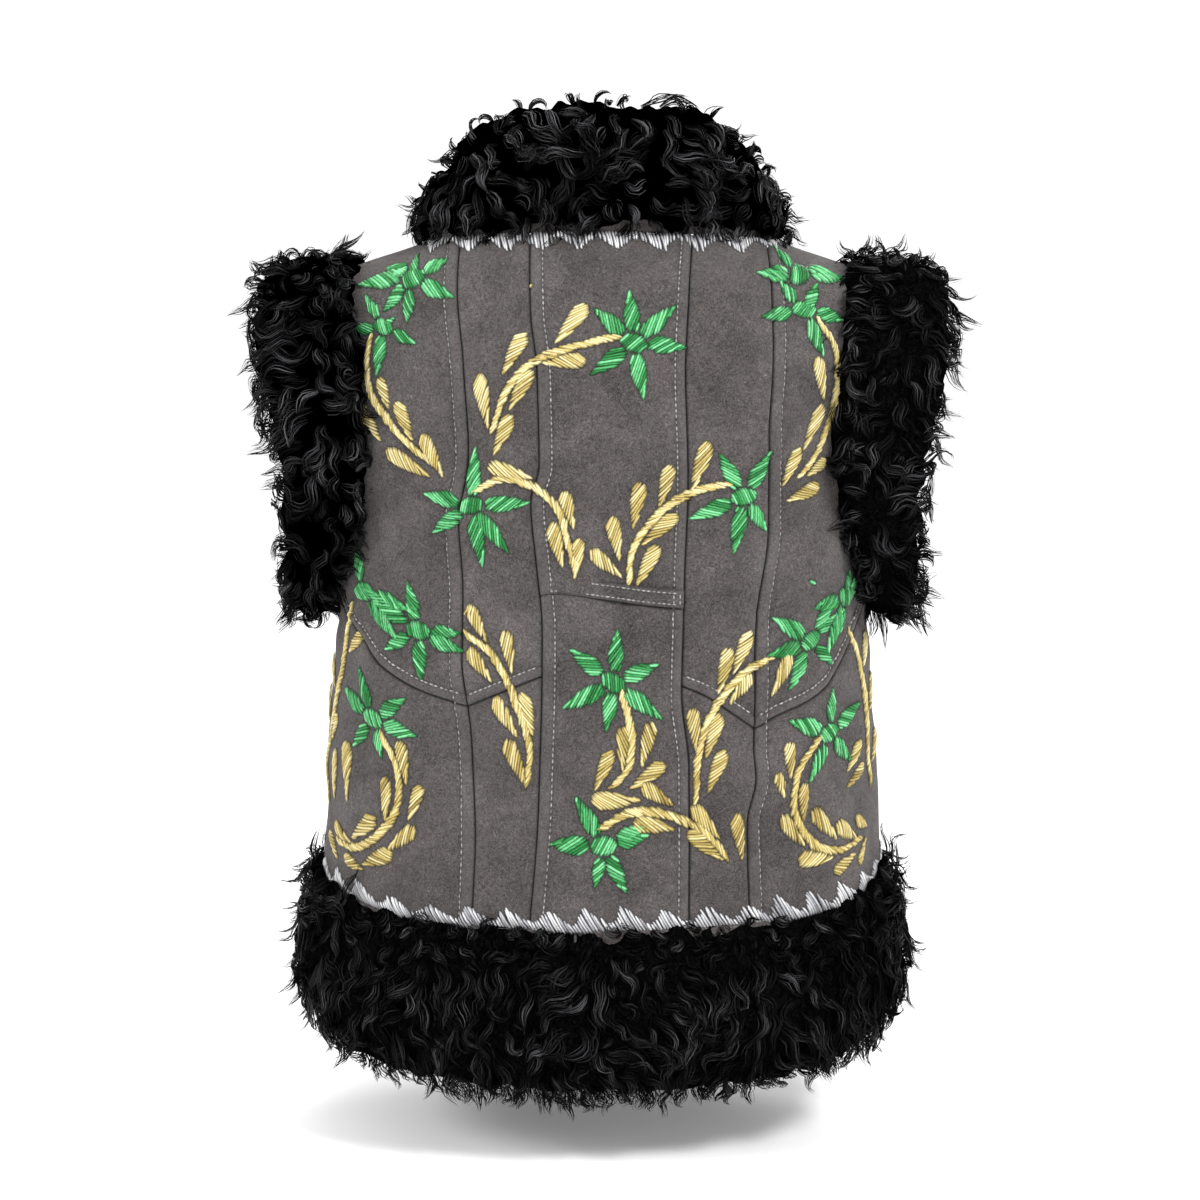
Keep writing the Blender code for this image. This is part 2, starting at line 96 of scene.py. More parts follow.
FRONT = (
    ("skirt",         0.0, -572.0, -590.0, 205.0, 119.0, 2.40),
    ("hem_seam",    140.0, -461.0, -468.0, 210.0, 117.0, 2.40),
    ("waist",       235.0, -357.0, -366.0, 205.0, 111.0, 2.40),
    ("underarm",    335.0, -250.0, -268.0, 194.0, 108.0, 2.35),
    ("armhole_lo",  378.0, -207.0, -230.0, 177.0, 107.0, 2.30),
    ("armhole_mid", 442.0, -143.0, -178.0, 169.0, 106.0, 2.30),
    ("chest",       502.0,  -83.0, -138.0, 174.0, 104.0, 2.30),
    ("collarbone",  548.0,  -41.0, -112.0, 179.0, 101.0, 2.30),
)
ARMHOLE = ((378.0, 54.0), (442.0, 62.0), (502.0, 58.0), (548.0, 44.0))
SEAM_A = ((140, -93), (195, -91), (255, -93), (309, -100), (350, -99), (395, -101), (440, -94), (504, -97), (556, -102), (596, -101))
SEAM_B = ((140, -52), (219, -45), (327, -42), (370, -46), (411, -50), (438, -44), (499, -45), (540, -50), (596, -51))
SEAM_C = ((140, 62), (235, 62), (286, 56), (357, 58), (423, 60), (498, 58), (548, 60), (596, 64))
SEAM_D = ((140, 106), (200, 103), (228, 110), (250, 108), (300, 108), (335, 110), (387, 117), (447, 117), (533, 120), (596, 118))
CROSS_CENTRE = ((0.0, 349.0), (0.1, 350.5), (0.45, 347.0), (0.75, 343.0), (1.0, 340.5))
CROSS_AB = ((0.0, 275.0), (0.5, 285.5), (1.0, 296.5))
CROSS_CD = ((0.0, 290.0), (0.3, 283.5), (0.65, 272.0), (1.0, 260.0))
CROSS_LEFT = ((0.0, 334.0), (0.25, 326.0), (0.47, 310.0), (0.62, 294.0), (0.8, 282.5), (1.0, 275.0))
CROSS_RIGHT = ((0.0, 260.0), (0.12, 268.0), (0.29, 275.0), (0.4, 281.0), (0.52, 295.0), (0.7, 316.0), (1.0, 334.0))


def smooth(table, at, column=1):
    xs = np.array([row[0] for row in table], float)
    ys = np.array([row[column] for row in table], float)
    at = np.clip(at, xs[0], xs[-1])
    slopes = np.diff(ys) / np.diff(xs)
    tangent = np.empty(len(xs))
    tangent[0], tangent[-1] = slopes[0], slopes[-1]
    for i in range(1, len(xs) - 1):
        a, b = slopes[i - 1], slopes[i]
        tangent[i] = 0.0 if a * b <= 0 else 2 * a * b / (a + b)
    k = np.clip(np.searchsorted(xs, at, "right") - 1, 0, len(xs) - 2)
    h = xs[k + 1] - xs[k]
    t = (at - xs[k]) / h
    return ((2*t**3 - 3*t**2 + 1) * ys[k] + (t**3 - 2*t**2 + t) * h * tangent[k]
            + (-2*t**3 + 3*t**2) * ys[k + 1] + (t**3 - t**2) * h * tangent[k + 1])


def unit(v):
    return v / np.maximum(np.linalg.norm(v, axis=-1, keepdims=True), 1e-9)


def step(low, high, x):
    t = np.clip((x - low) / (high - low), 0.0, 1.0)
    return t * t * (3 - 2 * t)


ROWS = np.linspace(0.0, V_TOP, 160)
SHARES = np.linspace(-1.0, 1.0, 401)


def look(table, share, v):
    """A value from a table over ROWS and SHARES, blended between its entries."""
    i = np.clip(v / V_TOP * (len(ROWS) - 1), 0, len(ROWS) - 1.0001)
    j = np.clip((share + 1) / 2 * (len(SHARES) - 1), 0, len(SHARES) - 1.0001)
    i0, j0 = i.astype(int), j.astype(int)
    f, g = i - i0, j - j0
    return ((1 - f) * ((1 - g) * table[i0, j0] + g * table[i0, j0 + 1])
            + f * ((1 - g) * table[i0 + 1, j0] + g * table[i0 + 1, j0 + 1]))


class Form:
    """One side of the garment, outer face of the skin. facing is -1 for the back."""

    def __init__(self, rows, facing):
        self.rows = [row[1:] for row in rows]
        self.facing = facing
        s, v = np.meshgrid(SHARES, ROWS)
        run = np.linalg.norm(np.diff(self.at(s, v), axis=1), axis=-1)
        arc = np.concatenate([np.zeros((len(ROWS), 1)), np.cumsum(run, 1)], 1)
        self.arcs = arc - arc[:, 200:201]
        self.halves = self.arcs[:, -1]
        self.shares = np.stack([np.interp(SHARES * h, a, SHARES) for h, a in zip(self.halves, self.arcs)])

    def curve(self, v):
        z_edge, z_mid, half, depth, n = (smooth(self.rows, v, i) for i in range(1, 6))
        low = ARMHOLE[0][0]
        q = np.clip((low - v) / (low - V_UNDERARM), 0.0, 1.0)
        edge = smooth(ARMHOLE, v) * np.sqrt(1 - q * q)
        wide = half / (1 - (edge / depth) ** n) ** (1 / n)
        return z_edge, z_mid, depth, n, wide, np.arcsin(np.clip(half / wide, 0, 1))

    def level(self, s, v):
        z_edge, z_mid, depth, n, wide, reach = self.curve(v)
        x = wide * np.sin(s * reach)
        y = depth * np.maximum(0.0, 1 - np.abs(x / wide) ** n) ** (1 / n)
        return np.stack([x, self.facing * y, z_mid + (z_edge - z_mid) * s * s], -1)

    def top(self, s):
        x = SHOULDER_HALF * s
        out = np.abs(x)
        t = (out - NECK_HALF) / (SHOULDER_HALF - NECK_HALF)
        q = np.clip(out / NECK_HALF, 0, 1)
        bow = (1 - q**2.2) ** (1 / 2.2)
        if self.facing < 0:
            y = SHOULDER_SEAM_Y - (BACK_NECK_DEPTH + SHOULDER_SEAM_Y) * bow
            z = NECK_Z + BACK_NECK_RISE * (1 - q * q)
        else:
            y = SHOULDER_SEAM_Y + (FRONT_NECK_DEPTH - SHOULDER_SEAM_Y) * bow
            z = NECK_Z - FRONT_NECK_DROP * (1 - q**2.4) ** 0.8
        on = out >= NECK_HALF
        y = np.where(on, SHOULDER_SEAM_Y, y)
        z = np.where(on, NECK_Z + (SHOULDER_Z - NECK_Z) * t, z)
        return np.stack([x, y, z], -1)

    def at(self, s, v):
        s, v = np.broadcast_arrays(np.asarray(s, float), np.asarray(v, float))
        made = self.level(s, np.minimum(v, V_YOKE))
        high = v > V_YOKE
        if not high.any():
            return made
        sh, vh = s[high], v[high]
        start, end = self.level(sh, np.full_like(sh, V_YOKE)), self.top(sh)
        span = np.linalg.norm(end - start, axis=-1, keepdims=True)
        leave = unit(start - self.level(sh, np.full_like(sh, V_YOKE - 2.0)))
        q = np.minimum(1.0, np.abs(sh) * SHOULDER_HALF / NECK_HALF)
        slope = np.radians(NECK_SLOPE + (SHOULDER_SLOPE - NECK_SLOPE) * q**3)
        arrive = np.stack([0 * slope, -self.facing * np.cos(slope), np.sin(slope)], -1)
        t = ((vh - V_YOKE) / (V_TOP - V_YOKE))[..., None]
        made[high] = ((2*t**3 - 3*t**2 + 1) * start + (t**3 - 2*t**2 + t) * span * leave
                      + (-2*t**3 + 3*t**2) * end + (t**3 - t**2) * span * arrive)
        return made

    def normal(self, s, v):
        s0, s1 = np.maximum(s - 0.004, -1.0), np.minimum(s + 0.004, 1.0)
        v0, v1 = np.maximum(v - 1.0, 0.0), np.minimum(v + 1.0, V_TOP)
        along = self.at(s1, v) - self.at(s0, v)
        up = self.at(s, v1) - self.at(s, v0)
        return unit(np.cross(along, up) * -self.facing)

    def half(self, v):
        return np.interp(v, ROWS, self.halves)

    def x_of(self, s, v):
        return look(self.arcs, s, v)

    def s_of(self, x, v):
        return look(self.shares, np.clip(x / self.half(v), -1, 1), v)


back, front = Form(BACK, -1), Form(FRONT, 1)

# ---- seams, as length of cloth from the centre back ------------------------------------
SEAM_V = np.arange(V_HEM, V_TOP + 0.5, 1.0)


def seam_s(table):
    """The s of a long seam at every height of SEAM_V."""
    want = smooth(table, SEAM_V)
    low, high = np.full_like(want, -1.0), np.full_like(want, 1.0)
    for _ in range(36):
        mid = (low + high) / 2
        left = back.at(mid, SEAM_V)[:, 0] < want
        low, high = np.where(left, mid, low), np.where(left, high, mid)
    return (low + high) / 2


LONG = {}
for key, table in (("a", SEAM_A), ("b", SEAM_B), ("c", SEAM_C), ("d", SEAM_D)):
    LONG[key] = back.x_of(seam_s(table), SEAM_V)


def long_x(key, v):
    if key == "left":
        return -back.half(v)
    if key == "right":
        return back.half(v)
    return np.interp(v, SEAM_V, LONG[key])


# Topstitching beside a long seam: which side of it, and how far off
STITCHED = {"a": (-1, 9.2), "b": (1, 9.2), "c": (-1, 7.4), "d": (1, 8.8)}
# Cross seams: heights, and the long seams that they run between
CROSS = {
    "ab": (CROSS_AB, "a", "b"),
    "cd": (CROSS_CD, "c", "d"),
    "left": (CROSS_LEFT, "left", "a"),
    "right": (CROSS_RIGHT, "d", "right"),
    "centre": (CROSS_CENTRE, "b", "c"),
}
CROSS_STITCH = 6.8


def cross_line(name, share):
    """(x, v) of a cross seam at that share of its run."""
    table, low, high = CROSS[name]
    v = smooth(table, share)
    return long_x(low, v) + (long_x(high, v) - long_x(low, v)) * share, v


CROSS_LINES = {}
for name in CROSS:
    x, v = cross_line(name, np.linspace(0, 1, 81))
    CROSS_LINES[name] = (x, v, np.cos(np.arctan(np.gradient(v) / np.gradient(x))))

# Soft troughs (negative) and ridges in the cloth: from, to, depth and half width. x runs on
# round the side onto the front, where the front edge is at about 530.
CREASES = (
    (-22, 420, 6, 398, -1.1, 5.0), (-30, 404, -8, 440, -0.9, 6.0), (30, 470, 44, 500, -0.8, 7.0),
    (-64, 556, -84, 520, -1.0, 8.0), (96, 560, 84, 512, -1.1, 9.0), (-20, 570, 24, 566, -0.7, 5.0),
    (-128, 300, -96, 322, -1.3, 7.0), (-150, 365, -112, 384, -1.2, 8.0), (-118, 470, -140, 500, 0.9, 9.0),
    (128, 372, 160, 356, -1.3, 8.0), (132, 300, 178, 322, -1.2, 7.0), (118, 440, 150, 470, 1.0, 10.0),
    (-120, 215, -98, 232, -1.0, 6.0), (-190, 240, -160, 214, -1.4, 8.0), (-205, 170, -180, 205, -1.1, 9.0),
    (185, 222, 210, 196, -1.4, 8.0), (120, 190, 104, 214, -0.9, 7.0), (36, 236, 20, 262, -0.9, 8.0),
    (-30, 160, -8, 180, -0.8, 7.0), (76, 166, 92, 240, 0.8, 8.0), (-70, 190, -62, 262, 0.7, 8.0),
    (-235, 318, -300, 300, -2.0, 11.0), (-250, 290, -330, 262, -1.5, 10.0), (-262, 235, -330, 240, -1.2, 9.0),
    (238, 316, 305, 296, -2.1, 11.0), (252, 286, 322, 268, -1.4, 9.0), (268, 228, 345, 222, -1.2, 10.0),
    (-380, 330, -350, 250, -1.3, 12.0), (-430, 380, -400, 300, 1.1, 12.0), (390, 345, 352, 262, -1.4, 12.0),
    (440, 372, 412, 290, 1.0, 12.0), (-470, 220, -440, 170, -1.0, 10.0), (478, 232, 452, 176, -1.1, 10.0),
    (-455, 430, -425, 400, -1.2, 9.0), (450, 440, 428, 404, -1.2, 9.0),
    (-500, 470, -430, 500, -1.4, 12.0), (-505, 330, -445, 300, -1.5, 13.0), (-490, 262, -430, 268, -1.2, 11.0),
    (-400, 210, -330, 190, 1.3, 13.0), (-345, 420, -330, 350, -1.5, 12.0), (-512, 400, -470, 372, 1.1, 12.0),
    (-420, 168, -480, 180, -1.0, 10.0), (498, 452, 436, 486, -1.3, 12.0), (508, 350, 452, 322, -1.4, 13.0),
    (480, 280, 418, 262, -1.3, 12.0), (405, 196, 335, 214, 1.2, 12.0), (350, 410, 338, 352, -1.4, 11.0),
    (500, 214, 452, 190, -1.1, 10.0), (380, 505, 420, 540, 1.1, 12.0),
)
# Long swells: length along x and v of one wave, height, and start of the wave
SWELLS = ((148, 900, 0.8, 0.3), (-96, 210, 0.55, 1.9), (73, 160, 0.4, 4.1), (230, 118, 0.7, 2.2), (-58, 92, 0.28, 0.9), (41, -67, 0.2, 5.0))
PUCKERS = ((8.7, 0.5), (12.9, 0.6), (19.3, 0.5))


def trough(t, deep, half):
    return -deep * np.exp(-(t / half) ** 2)


def pucker(along, seed):
    return sum(h * np.sin(2 * np.pi * along / w + seed * (1.7 + w)) for w, h in PUCKERS)


def stitched_flap(t, far, along, seed):
    """Double leather between a seam and its topstitching, and the pull of the thread. t is
    the distance from the seam into the flap."""
    on = t > 0
    lift = 0.75 * step(0.3, 2.6, t) * (1 - step(far - 1.4, far + 0.4, t))
    pull = trough(t - far, 1.0, 1.25) - 0.3 * np.exp(-np.maximum(t - far, 0) / 6.0) * step(far - 1, far + 1, t)
    wave = 0.48 * pucker(along, seed) * np.exp(-((t - far) / 5.5) ** 2)
    return np.where(on, lift + pull + wave, 0.0)


def flap_highlight(t, far):
    """Painted highlight on the raised double leather between a seam and its topstitching."""
    return step(0.4, 1.6, t) * (1 - step(far - 1.5, far - 0.2, t)) + 0.7 * np.exp(-((t - 1.3) / 0.7) ** 2)


def relief(form, x, v):
    """How far the suede stands off the form, its painted shade in seam and stitch troughs and its painted highlight on
    raised flaps, at (x, v).
    """
    if form is back:
        round_x = x
    else:
        round_x = np.where(x < 0, -1.0, 1.0) * (back.half(v) + form.half(v) - np.abs(x))
    h = np.zeros_like(x)
    for wx, wv, high, start in SWELLS:
        h += 1.5 * high * np.sin(2 * np.pi * (round_x / wx + v / wv) + start)
    h *= 1 - 0.75 * step(540, 590, v)
    for x0, v0, x1, v1, high, wide in CREASES:
        run = np.array([x1 - x0, v1 - v0], float)
        long = float(np.hypot(*run))
        t = ((round_x - x0) * run[0] + (v - v0) * run[1]) / long
        off = ((round_x - x0) * -run[1] + (v - v0) * run[0]) / long
        ends = step(-0.25 * long, 0.3 * long, t) * (1 - step(0.7 * long, 1.25 * long, t))
        bow = off + 0.12 * long * np.sin(np.pi * np.clip(t / long, 0, 1))
        h += 1.35 * high * ends * (np.exp(-(bow / wide) ** 2) - 0.3 * np.exp(-((np.abs(bow) - 1.9 * wide) / wide) ** 2))
    # dark is painted shade in the seam valleys and along the topstitch troughs; the second value is painted highlight
    # on the raised flaps.
    dark, painted_highlight = np.zeros_like(x), np.zeros_like(x)
    if form is back:
        for seed, key in enumerate("abcd"):
            t = x - long_x(key, v)
            h += trough(t, 1.5, 0.9) + trough(t, 1.0, 3.4)
            dark = np.maximum(dark, np.exp(-(t / 0.75) ** 2))
            side, far = STITCHED[key]
            h += stitched_flap(side * t, far, v, seed)
            # painted highlight on the raised flap beside the seam
            painted_highlight = np.maximum(painted_highlight, flap_highlight(side * t, far))
            dark = np.maximum(dark, 0.30 * np.exp(-((side * t - far) / 0.9) ** 2))
        for seed, (name, (lx, lv, cos)) in enumerate(CROSS_LINES.items()):
            within = (x > lx[0]) & (x < lx[-1])
            t = (v - np.interp(x, lx, lv)) * np.interp(x, lx, cos)
            t = np.where(within, t, 99.0)
            h += trough(t, 1.4, 0.9) + trough(t, 0.6, 2.8)
            dark = np.maximum(dark, np.exp(-(t / 0.75) ** 2))
            if name != "centre":
                h += stitched_flap(t, CROSS_STITCH, x, seed + 7)
                painted_highlight = np.maximum(painted_highlight, flap_highlight(t, CROSS_STITCH))
                dark = np.maximum(dark, 0.30 * np.exp(-((t - CROSS_STITCH) / 0.9) ** 2))
    else:
        inner = np.abs(x) - 1.5
        h += stitched_flap(inner, 9.0, v, 11)
    side = np.where(v < V_UNDERARM, back.half(v) - np.abs(round_x), 99.0)
    h += trough(side, 1.2, 1.0) + trough(side, 0.6, 3.0)
    dark = np.maximum(dark, np.exp(-(side / 0.75) ** 2))
    h += trough(v - V_HEM, 1.1, 3.0)
    return h, dark, painted_highlight


def on_cloth(form, x, v, high=0.0):
    """Points at (x, v) of a form, high above the suede."""
    s = form.s_of(x, v)
    return form.at(s, v) + form.normal(s, v) * (relief(form, x, v)[0] + high)[..., None]


def round_cloth(x, v, high):
    """As on_cloth, with x running on from the back round the sides onto the front."""
    half = back.half(v)
    over = (np.abs(x) > half) & (v < V_UNDERARM)
    made = on_cloth(back, np.clip(x, -half, half), v, high)
    if over.any():
        xf = np.sign(x[over]) * (half[over] + front.half(v[over]) - np.abs(x[over]))
        made[over] = on_cloth(front, xf, v[over], high[over])
    return made


# ---- meshes and materials --------------------------------------------------------------
def mesh_object(name, points, faces, made, floats=(), uv=None, normals=None, slots=None):
    """An object from points in millimetres. faces is a list of index arrays, each of one
    corner count; floats are (name, value at each point)."""
    mesh = bpy.data.meshes.new(name)
    points = np.asarray(points, np.float32).reshape(-1, 3) * MM
    counts = np.concatenate([np.full(len(f), f.shape[1]) for f in faces]).astype(np.int32)
    loops = np.concatenate([f.ravel() for f in faces]).astype(np.int32)
    mesh.vertices.add(len(points))
    mesh.vertices.foreach_set("co", points.ravel())
    mesh.loops.add(len(loops))
    mesh.loops.foreach_set("vertex_index", loops)
    mesh.polygons.add(len(counts))
    starts = np.concatenate([[0], np.cumsum(counts)[:-1]]).astype(np.int32)
    mesh.polygons.foreach_set("loop_start", starts)
    mesh.polygons.foreach_set("loop_total", counts)
    mesh.polygons.foreach_set("use_smooth", np.ones(len(counts), bool))
    for m in made if isinstance(made, (list, tuple)) else [made]:
        mesh.materials.append(m)
    if slots is not None:
        mesh.polygons.foreach_set("material_index", np.asarray(slots, np.int32))
    for key, values in floats:
        attribute = mesh.attributes.new(key, "FLOAT", "POINT")
        attribute.data.foreach_set("value", np.asarray(values, np.float32).ravel())
    if uv is not None:
        layer = mesh.uv_layers.new(name="UVMap")
        layer.data.foreach_set("uv", np.asarray(uv, np.float32).reshape(-1, 2)[loops].ravel())
    mesh.update(calc_edges=True)
    mesh.validate()
    if normals is not None:
        mesh.normals_split_custom_set_from_vertices(np.asarray(normals, np.float32).reshape(-1, 3))
    obj = bpy.data.objects.new(name, mesh)
    bpy.context.scene.collection.objects.link(obj)
    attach(obj, "root")
    return obj


class Nodes:
    """A material's node tree, in few words."""

    def __init__(self, name):
        self.material = bpy.data.materials.new(name)
        self.material.use_nodes = True
        self.tree = self.material.node_tree
        self.shader = self.tree.nodes["Principled BSDF"]

    def add(self, kind, **values):
        node = self.tree.nodes.new(kind)
        for key, value in values.items():
            if hasattr(node, key):
                setattr(node, key, value)
            else:
                node.inputs[key.replace("_", " ")].default_value = value
        return node

    def link(self, a, b):
        self.tree.links.new(a, b)

    def noise(self, vector, scale, detail=2.0, rough=0.5, bend=0.0):
        node = self.add("ShaderNodeTexNoise")
        node.inputs["Scale"].default_value = scale
        node.inputs["Detail"].default_value = detail
        node.inputs["Roughness"].default_value = rough
        node.inputs["Distortion"].default_value = bend
        self.link(vector, node.inputs["Vector"])
        return node.outputs["Fac"]

    def math(self, kind, a, b, c=None):
        node = self.add("ShaderNodeMath", operation=kind)
        for i, value in enumerate((a, b, c)):
            if value is None:
                continue
            if isinstance(value, (int, float)):
                node.inputs[i].default_value = value
            else:
                self.link(value, node.inputs[i])
        return node.outputs[0]

    def ramp(self, fac, stops):
        node = self.add("ShaderNodeValToRGB")
        ramp = node.color_ramp
        while len(ramp.elements) < len(stops):
            ramp.elements.new(0.5)
        for element, (at, colour) in zip(ramp.elements, stops):
            element.position = at
            element.color = (*colour, 1.0)
        self.link(fac, node.inputs[0])
        return node.outputs[0]

    def mix(self, fac, a, b, kind="MIX"):
        node = self.add("ShaderNodeMix", data_type="RGBA", blend_type=kind)
        for socket, value in ((node.inputs[0], fac), (node.inputs[6], a), (node.inputs[7], b)):
            if isinstance(value, (int, float)):
                socket.default_value = value
            elif isinstance(value, tuple):
                socket.default_value = (*value, 1.0)
            else:
                self.link(value, socket)
        return node.outputs[2]

    def attribute(self, name):
        return self.add("ShaderNodeAttribute", attribute_name=name).outputs["Fac"]

    def bump(self, height, strength, distance, before=None):
        node = self.add("ShaderNodeBump")
        node.inputs["Strength"].default_value = strength
        node.inputs["Distance"].default_value = distance
        self.link(height, node.inputs["Height"])
        if before is not None:
            self.link(before, node.inputs["Normal"])
        return node.outputs["Normal"]

    def set(self, **values):
        for key, value in values.items():
            socket = self.shader.inputs[key.replace("_", " ")]
            if isinstance(value, bpy.types.NodeSocket):
                self.link(value, socket)
            elif isinstance(value, tuple):
                socket.default_value = (*value, 1.0)
            else:
                socket.default_value = value


def suede_material():
    n = Nodes("suede_outer")
    place = n.add("ShaderNodeTexCoord").outputs["Object"]
    cloud = n.noise(place, 26.0, 3.0, 0.55, 0.6)
    swirl = n.noise(place, 170.0, 3.0, 0.6, 3.2)
    fine = n.noise(place, 460.0, 2.0, 0.6, 3.0)
    grain = n.noise(place, 1500.0, 2.0, 0.6, 0.0)
    # fibres: thin curved lines where a bent noise crosses its middle
    fibre = n.math("SUBTRACT", 1.0, n.math("MULTIPLY", n.math("ABSOLUTE", n.math("SUBTRACT", n.noise(place, 330.0, 1.5, 0.5, 3.2), 0.5), 0.0), 7.0))
    fibre = n.math("MAXIMUM", fibre, 0.0)
    tone = n.math("ADD", n.math("MULTIPLY", cloud, 0.20), n.math("MULTIPLY", swirl, 0.28))
    tone = n.math("ADD", tone, n.math("ADD", n.math("MULTIPLY", fine, 0.36), n.math("MULTIPLY", grain, 0.12)))
    tone = n.math("ADD", tone, n.math("MULTIPLY", fibre, 0.060))
    colour = n.ramp(tone, (
        (0.35, (0.0132, 0.0114, 0.0109)),
        (0.43, (0.0350, 0.0306, 0.0296)),
        (0.50, (0.0628, 0.0556, 0.0538)),
        (0.57, (0.1030, 0.0926, 0.0900)),
        (0.66, (0.1740, 0.1588, 0.1550)),
    ))
    # Painted highlight on the raised flaps and the tab's rim, broken by the fine nap.
    colour = n.mix(n.math("MULTIPLY", n.attribute("painted_highlight"), n.math("MULTIPLY", fine, 0.36)), colour, (0.130, 0.120, 0.116))
    # Painted shade: seam valleys, topstitch troughs and the tab's edge darkened toward black.
    colour = n.mix(n.math("MULTIPLY", n.attribute("dark"), 0.93), colour, (0.004, 0.0035, 0.0035))
    height = n.math("ADD", n.math("MULTIPLY", swirl, 1.0), n.math("ADD", n.math("MULTIPLY", fine, 0.8), n.math("MULTIPLY", fibre, 0.25)))
    n.set(
        Base_Color=colour, Roughness=0.95, Specular_IOR_Level=0.15,
        Sheen_Weight=0.16, Sheen_Roughness=0.45, Sheen_Tint=(0.75, 0.72, 0.72),
        Normal=n.bump(height, 0.9, 0.0011),
    )
    return n.material


def pile_material():
    """Fleece side of the skin, short dark curls."""
    n = Nodes("pile")
    place = n.add("ShaderNodeTexCoord").outputs["Object"]
    curls = n.noise(place, 170.0, 5.0, 0.6, 3.4)
    lumps = n.noise(place, 60.0, 2.0, 0.5, 1.0)
    colour = n.ramp(curls, ((0.38, (0.0004, 0.0004, 0.0004)), (0.60, (0.0034, 0.0034, 0.0037)), (0.78, (0.0130, 0.0130, 0.0140))))
    height = n.math("ADD", curls, lumps)
    n.set(Base_Color=colour, Roughness=0.9, Specular_IOR_Level=0.0, Normal=n.bump(height, 0.9, 0.003))
    return n.material


def strand_material():
    """Black curly sheepskin hair; tone is a painted highlight along each hair, and dark stripes across it paint shade
    between the hairs.
    """
    n = Nodes("fur_strands")
    hair = n.math("ADD", n.math("MULTIPLY", n.math("COSINE", n.math("MULTIPLY", n.attribute("across"), 4 * math.pi), 0.0), -0.5), 0.5)
    tone = n.ramp(n.attribute("tone"), ((0.0, (0.0004, 0.0004, 0.0004)), (0.10, (0.0064, 0.0064, 0.0068)), (0.30, (0.0250, 0.0250, 0.0266)), (0.65, (0.0640, 0.0640, 0.0682)), (1.0, (0.1300, 0.1300, 0.1380))))
    colour = n.mix(n.math("ADD", n.math("MULTIPLY", hair, 0.8), 0.2), (0.0003, 0.0003, 0.0003), tone)
    n.set(Base_Color=colour, Roughness=0.36, Specular_IOR_Level=0.02, Normal=n.bump(hair, 0.5, 0.00030))
    return n.material


def thread_material(name, dark, mid, light, rough=0.36):
    """Twisted floss: fine filaments along the thread, and each stitch its own tone; the light end of that tone is
    painted highlight on the floss.
    """
    n = Nodes(name)
    uv = n.add("ShaderNodeTexCoord").outputs["UV"]
    scaled = n.add("ShaderNodeMapping")
    scaled.inputs["Scale"].default_value = (0.16, 3.2, 1.0)
    n.link(uv, scaled.inputs["Vector"])
    hair = n.noise(scaled.outputs[0], 2.4, 3.0, 0.6, 0.25)
    tone = n.math("ADD", n.math("MULTIPLY", hair, 0.95), n.math("MULTIPLY", n.attribute("tone"), 0.4))
    colour = n.ramp(tone, ((0.42, dark), (0.64, mid), (0.92, light)))
    # Painted shade from deep: the sides, fringe and needle holes of each stitch.
    colour = n.mix(n.attribute("deep"), colour, tuple(0.0035 + c * 0.05 for c in dark))
    n.set(
        Base_Color=colour, Roughness=rough, Specular_IOR_Level=0.24, Sheen_Weight=0.04, Sheen_Roughness=0.4,
        Normal=n.bump(hair, 0.7, 0.00045),
    )
    return n.material


suede, pile, strands_black = suede_material(), pile_material(), strand_material()
green = thread_material("thread_green", (0.002, 0.050, 0.008), (0.012, 0.272, 0.048), (0.34, 1.0, 0.48))
yellow = thread_material("thread_yellow", (0.170, 0.105, 0.014), (0.605, 0.472, 0.140), (0.98, 0.88, 0.52))
white = thread_material("thread_white", (0.12, 0.12, 0.13), (0.60, 0.60, 0.63), (1.0, 1.0, 1.0), 0.3)
pale = thread_material("thread_topstitch", (0.09, 0.084, 0.081), (0.30, 0.286, 0.278), (0.58, 0.56, 0.54), 0.6)


# ---- suede panels ----------------------------------------------------------------------
NEAR_STITCHED = np.array([0.2, 0.55, 0.95, 1.5, 2.3, 3.6, 5.4, 7.2, 8.1, 8.8, 9.5, 10.3, 11.6, 13.6]) / 9.2
NEAR_PLAIN = np.array([0.2, 0.55, 0.95, 1.5, 2.3, 3.6, 5.6, 8.4])
NEAR_END = np.array([0.2, 1.2, 3.0, 5.5])


def near(kind):
    """Distances from an edge at which a panel has a line of points."""
    if kind == "plain":
        return NEAR_PLAIN
    if kind == "end":
        return NEAR_END
    return NEAR_STITCHED * kind


def spaced(near_low, near_high, span, spacing):
    """Blocks of an odd number of lines across a span."""
    clear = span - near_low[-1] - near_high[-1]
    count = max(2, int(round(clear / spacing)))
    if (len(near_low) + len(near_high) + count - 1) % 2 == 0:
        count += 1
    return count


def lines(near_low, near_high, count):
    """Lines across a span: the share of its low end and of its high end in each, and what
    is added."""
    share = np.arange(1, count) / count
    low = np.concatenate([np.ones(len(near_low)), 1 - share, np.zeros(len(near_high))])
    add = np.concatenate([near_low, near_low[-1] * (1 - share) - near_high[-1] * share, -near_high[::-1]])
    return low, 1 - low, add


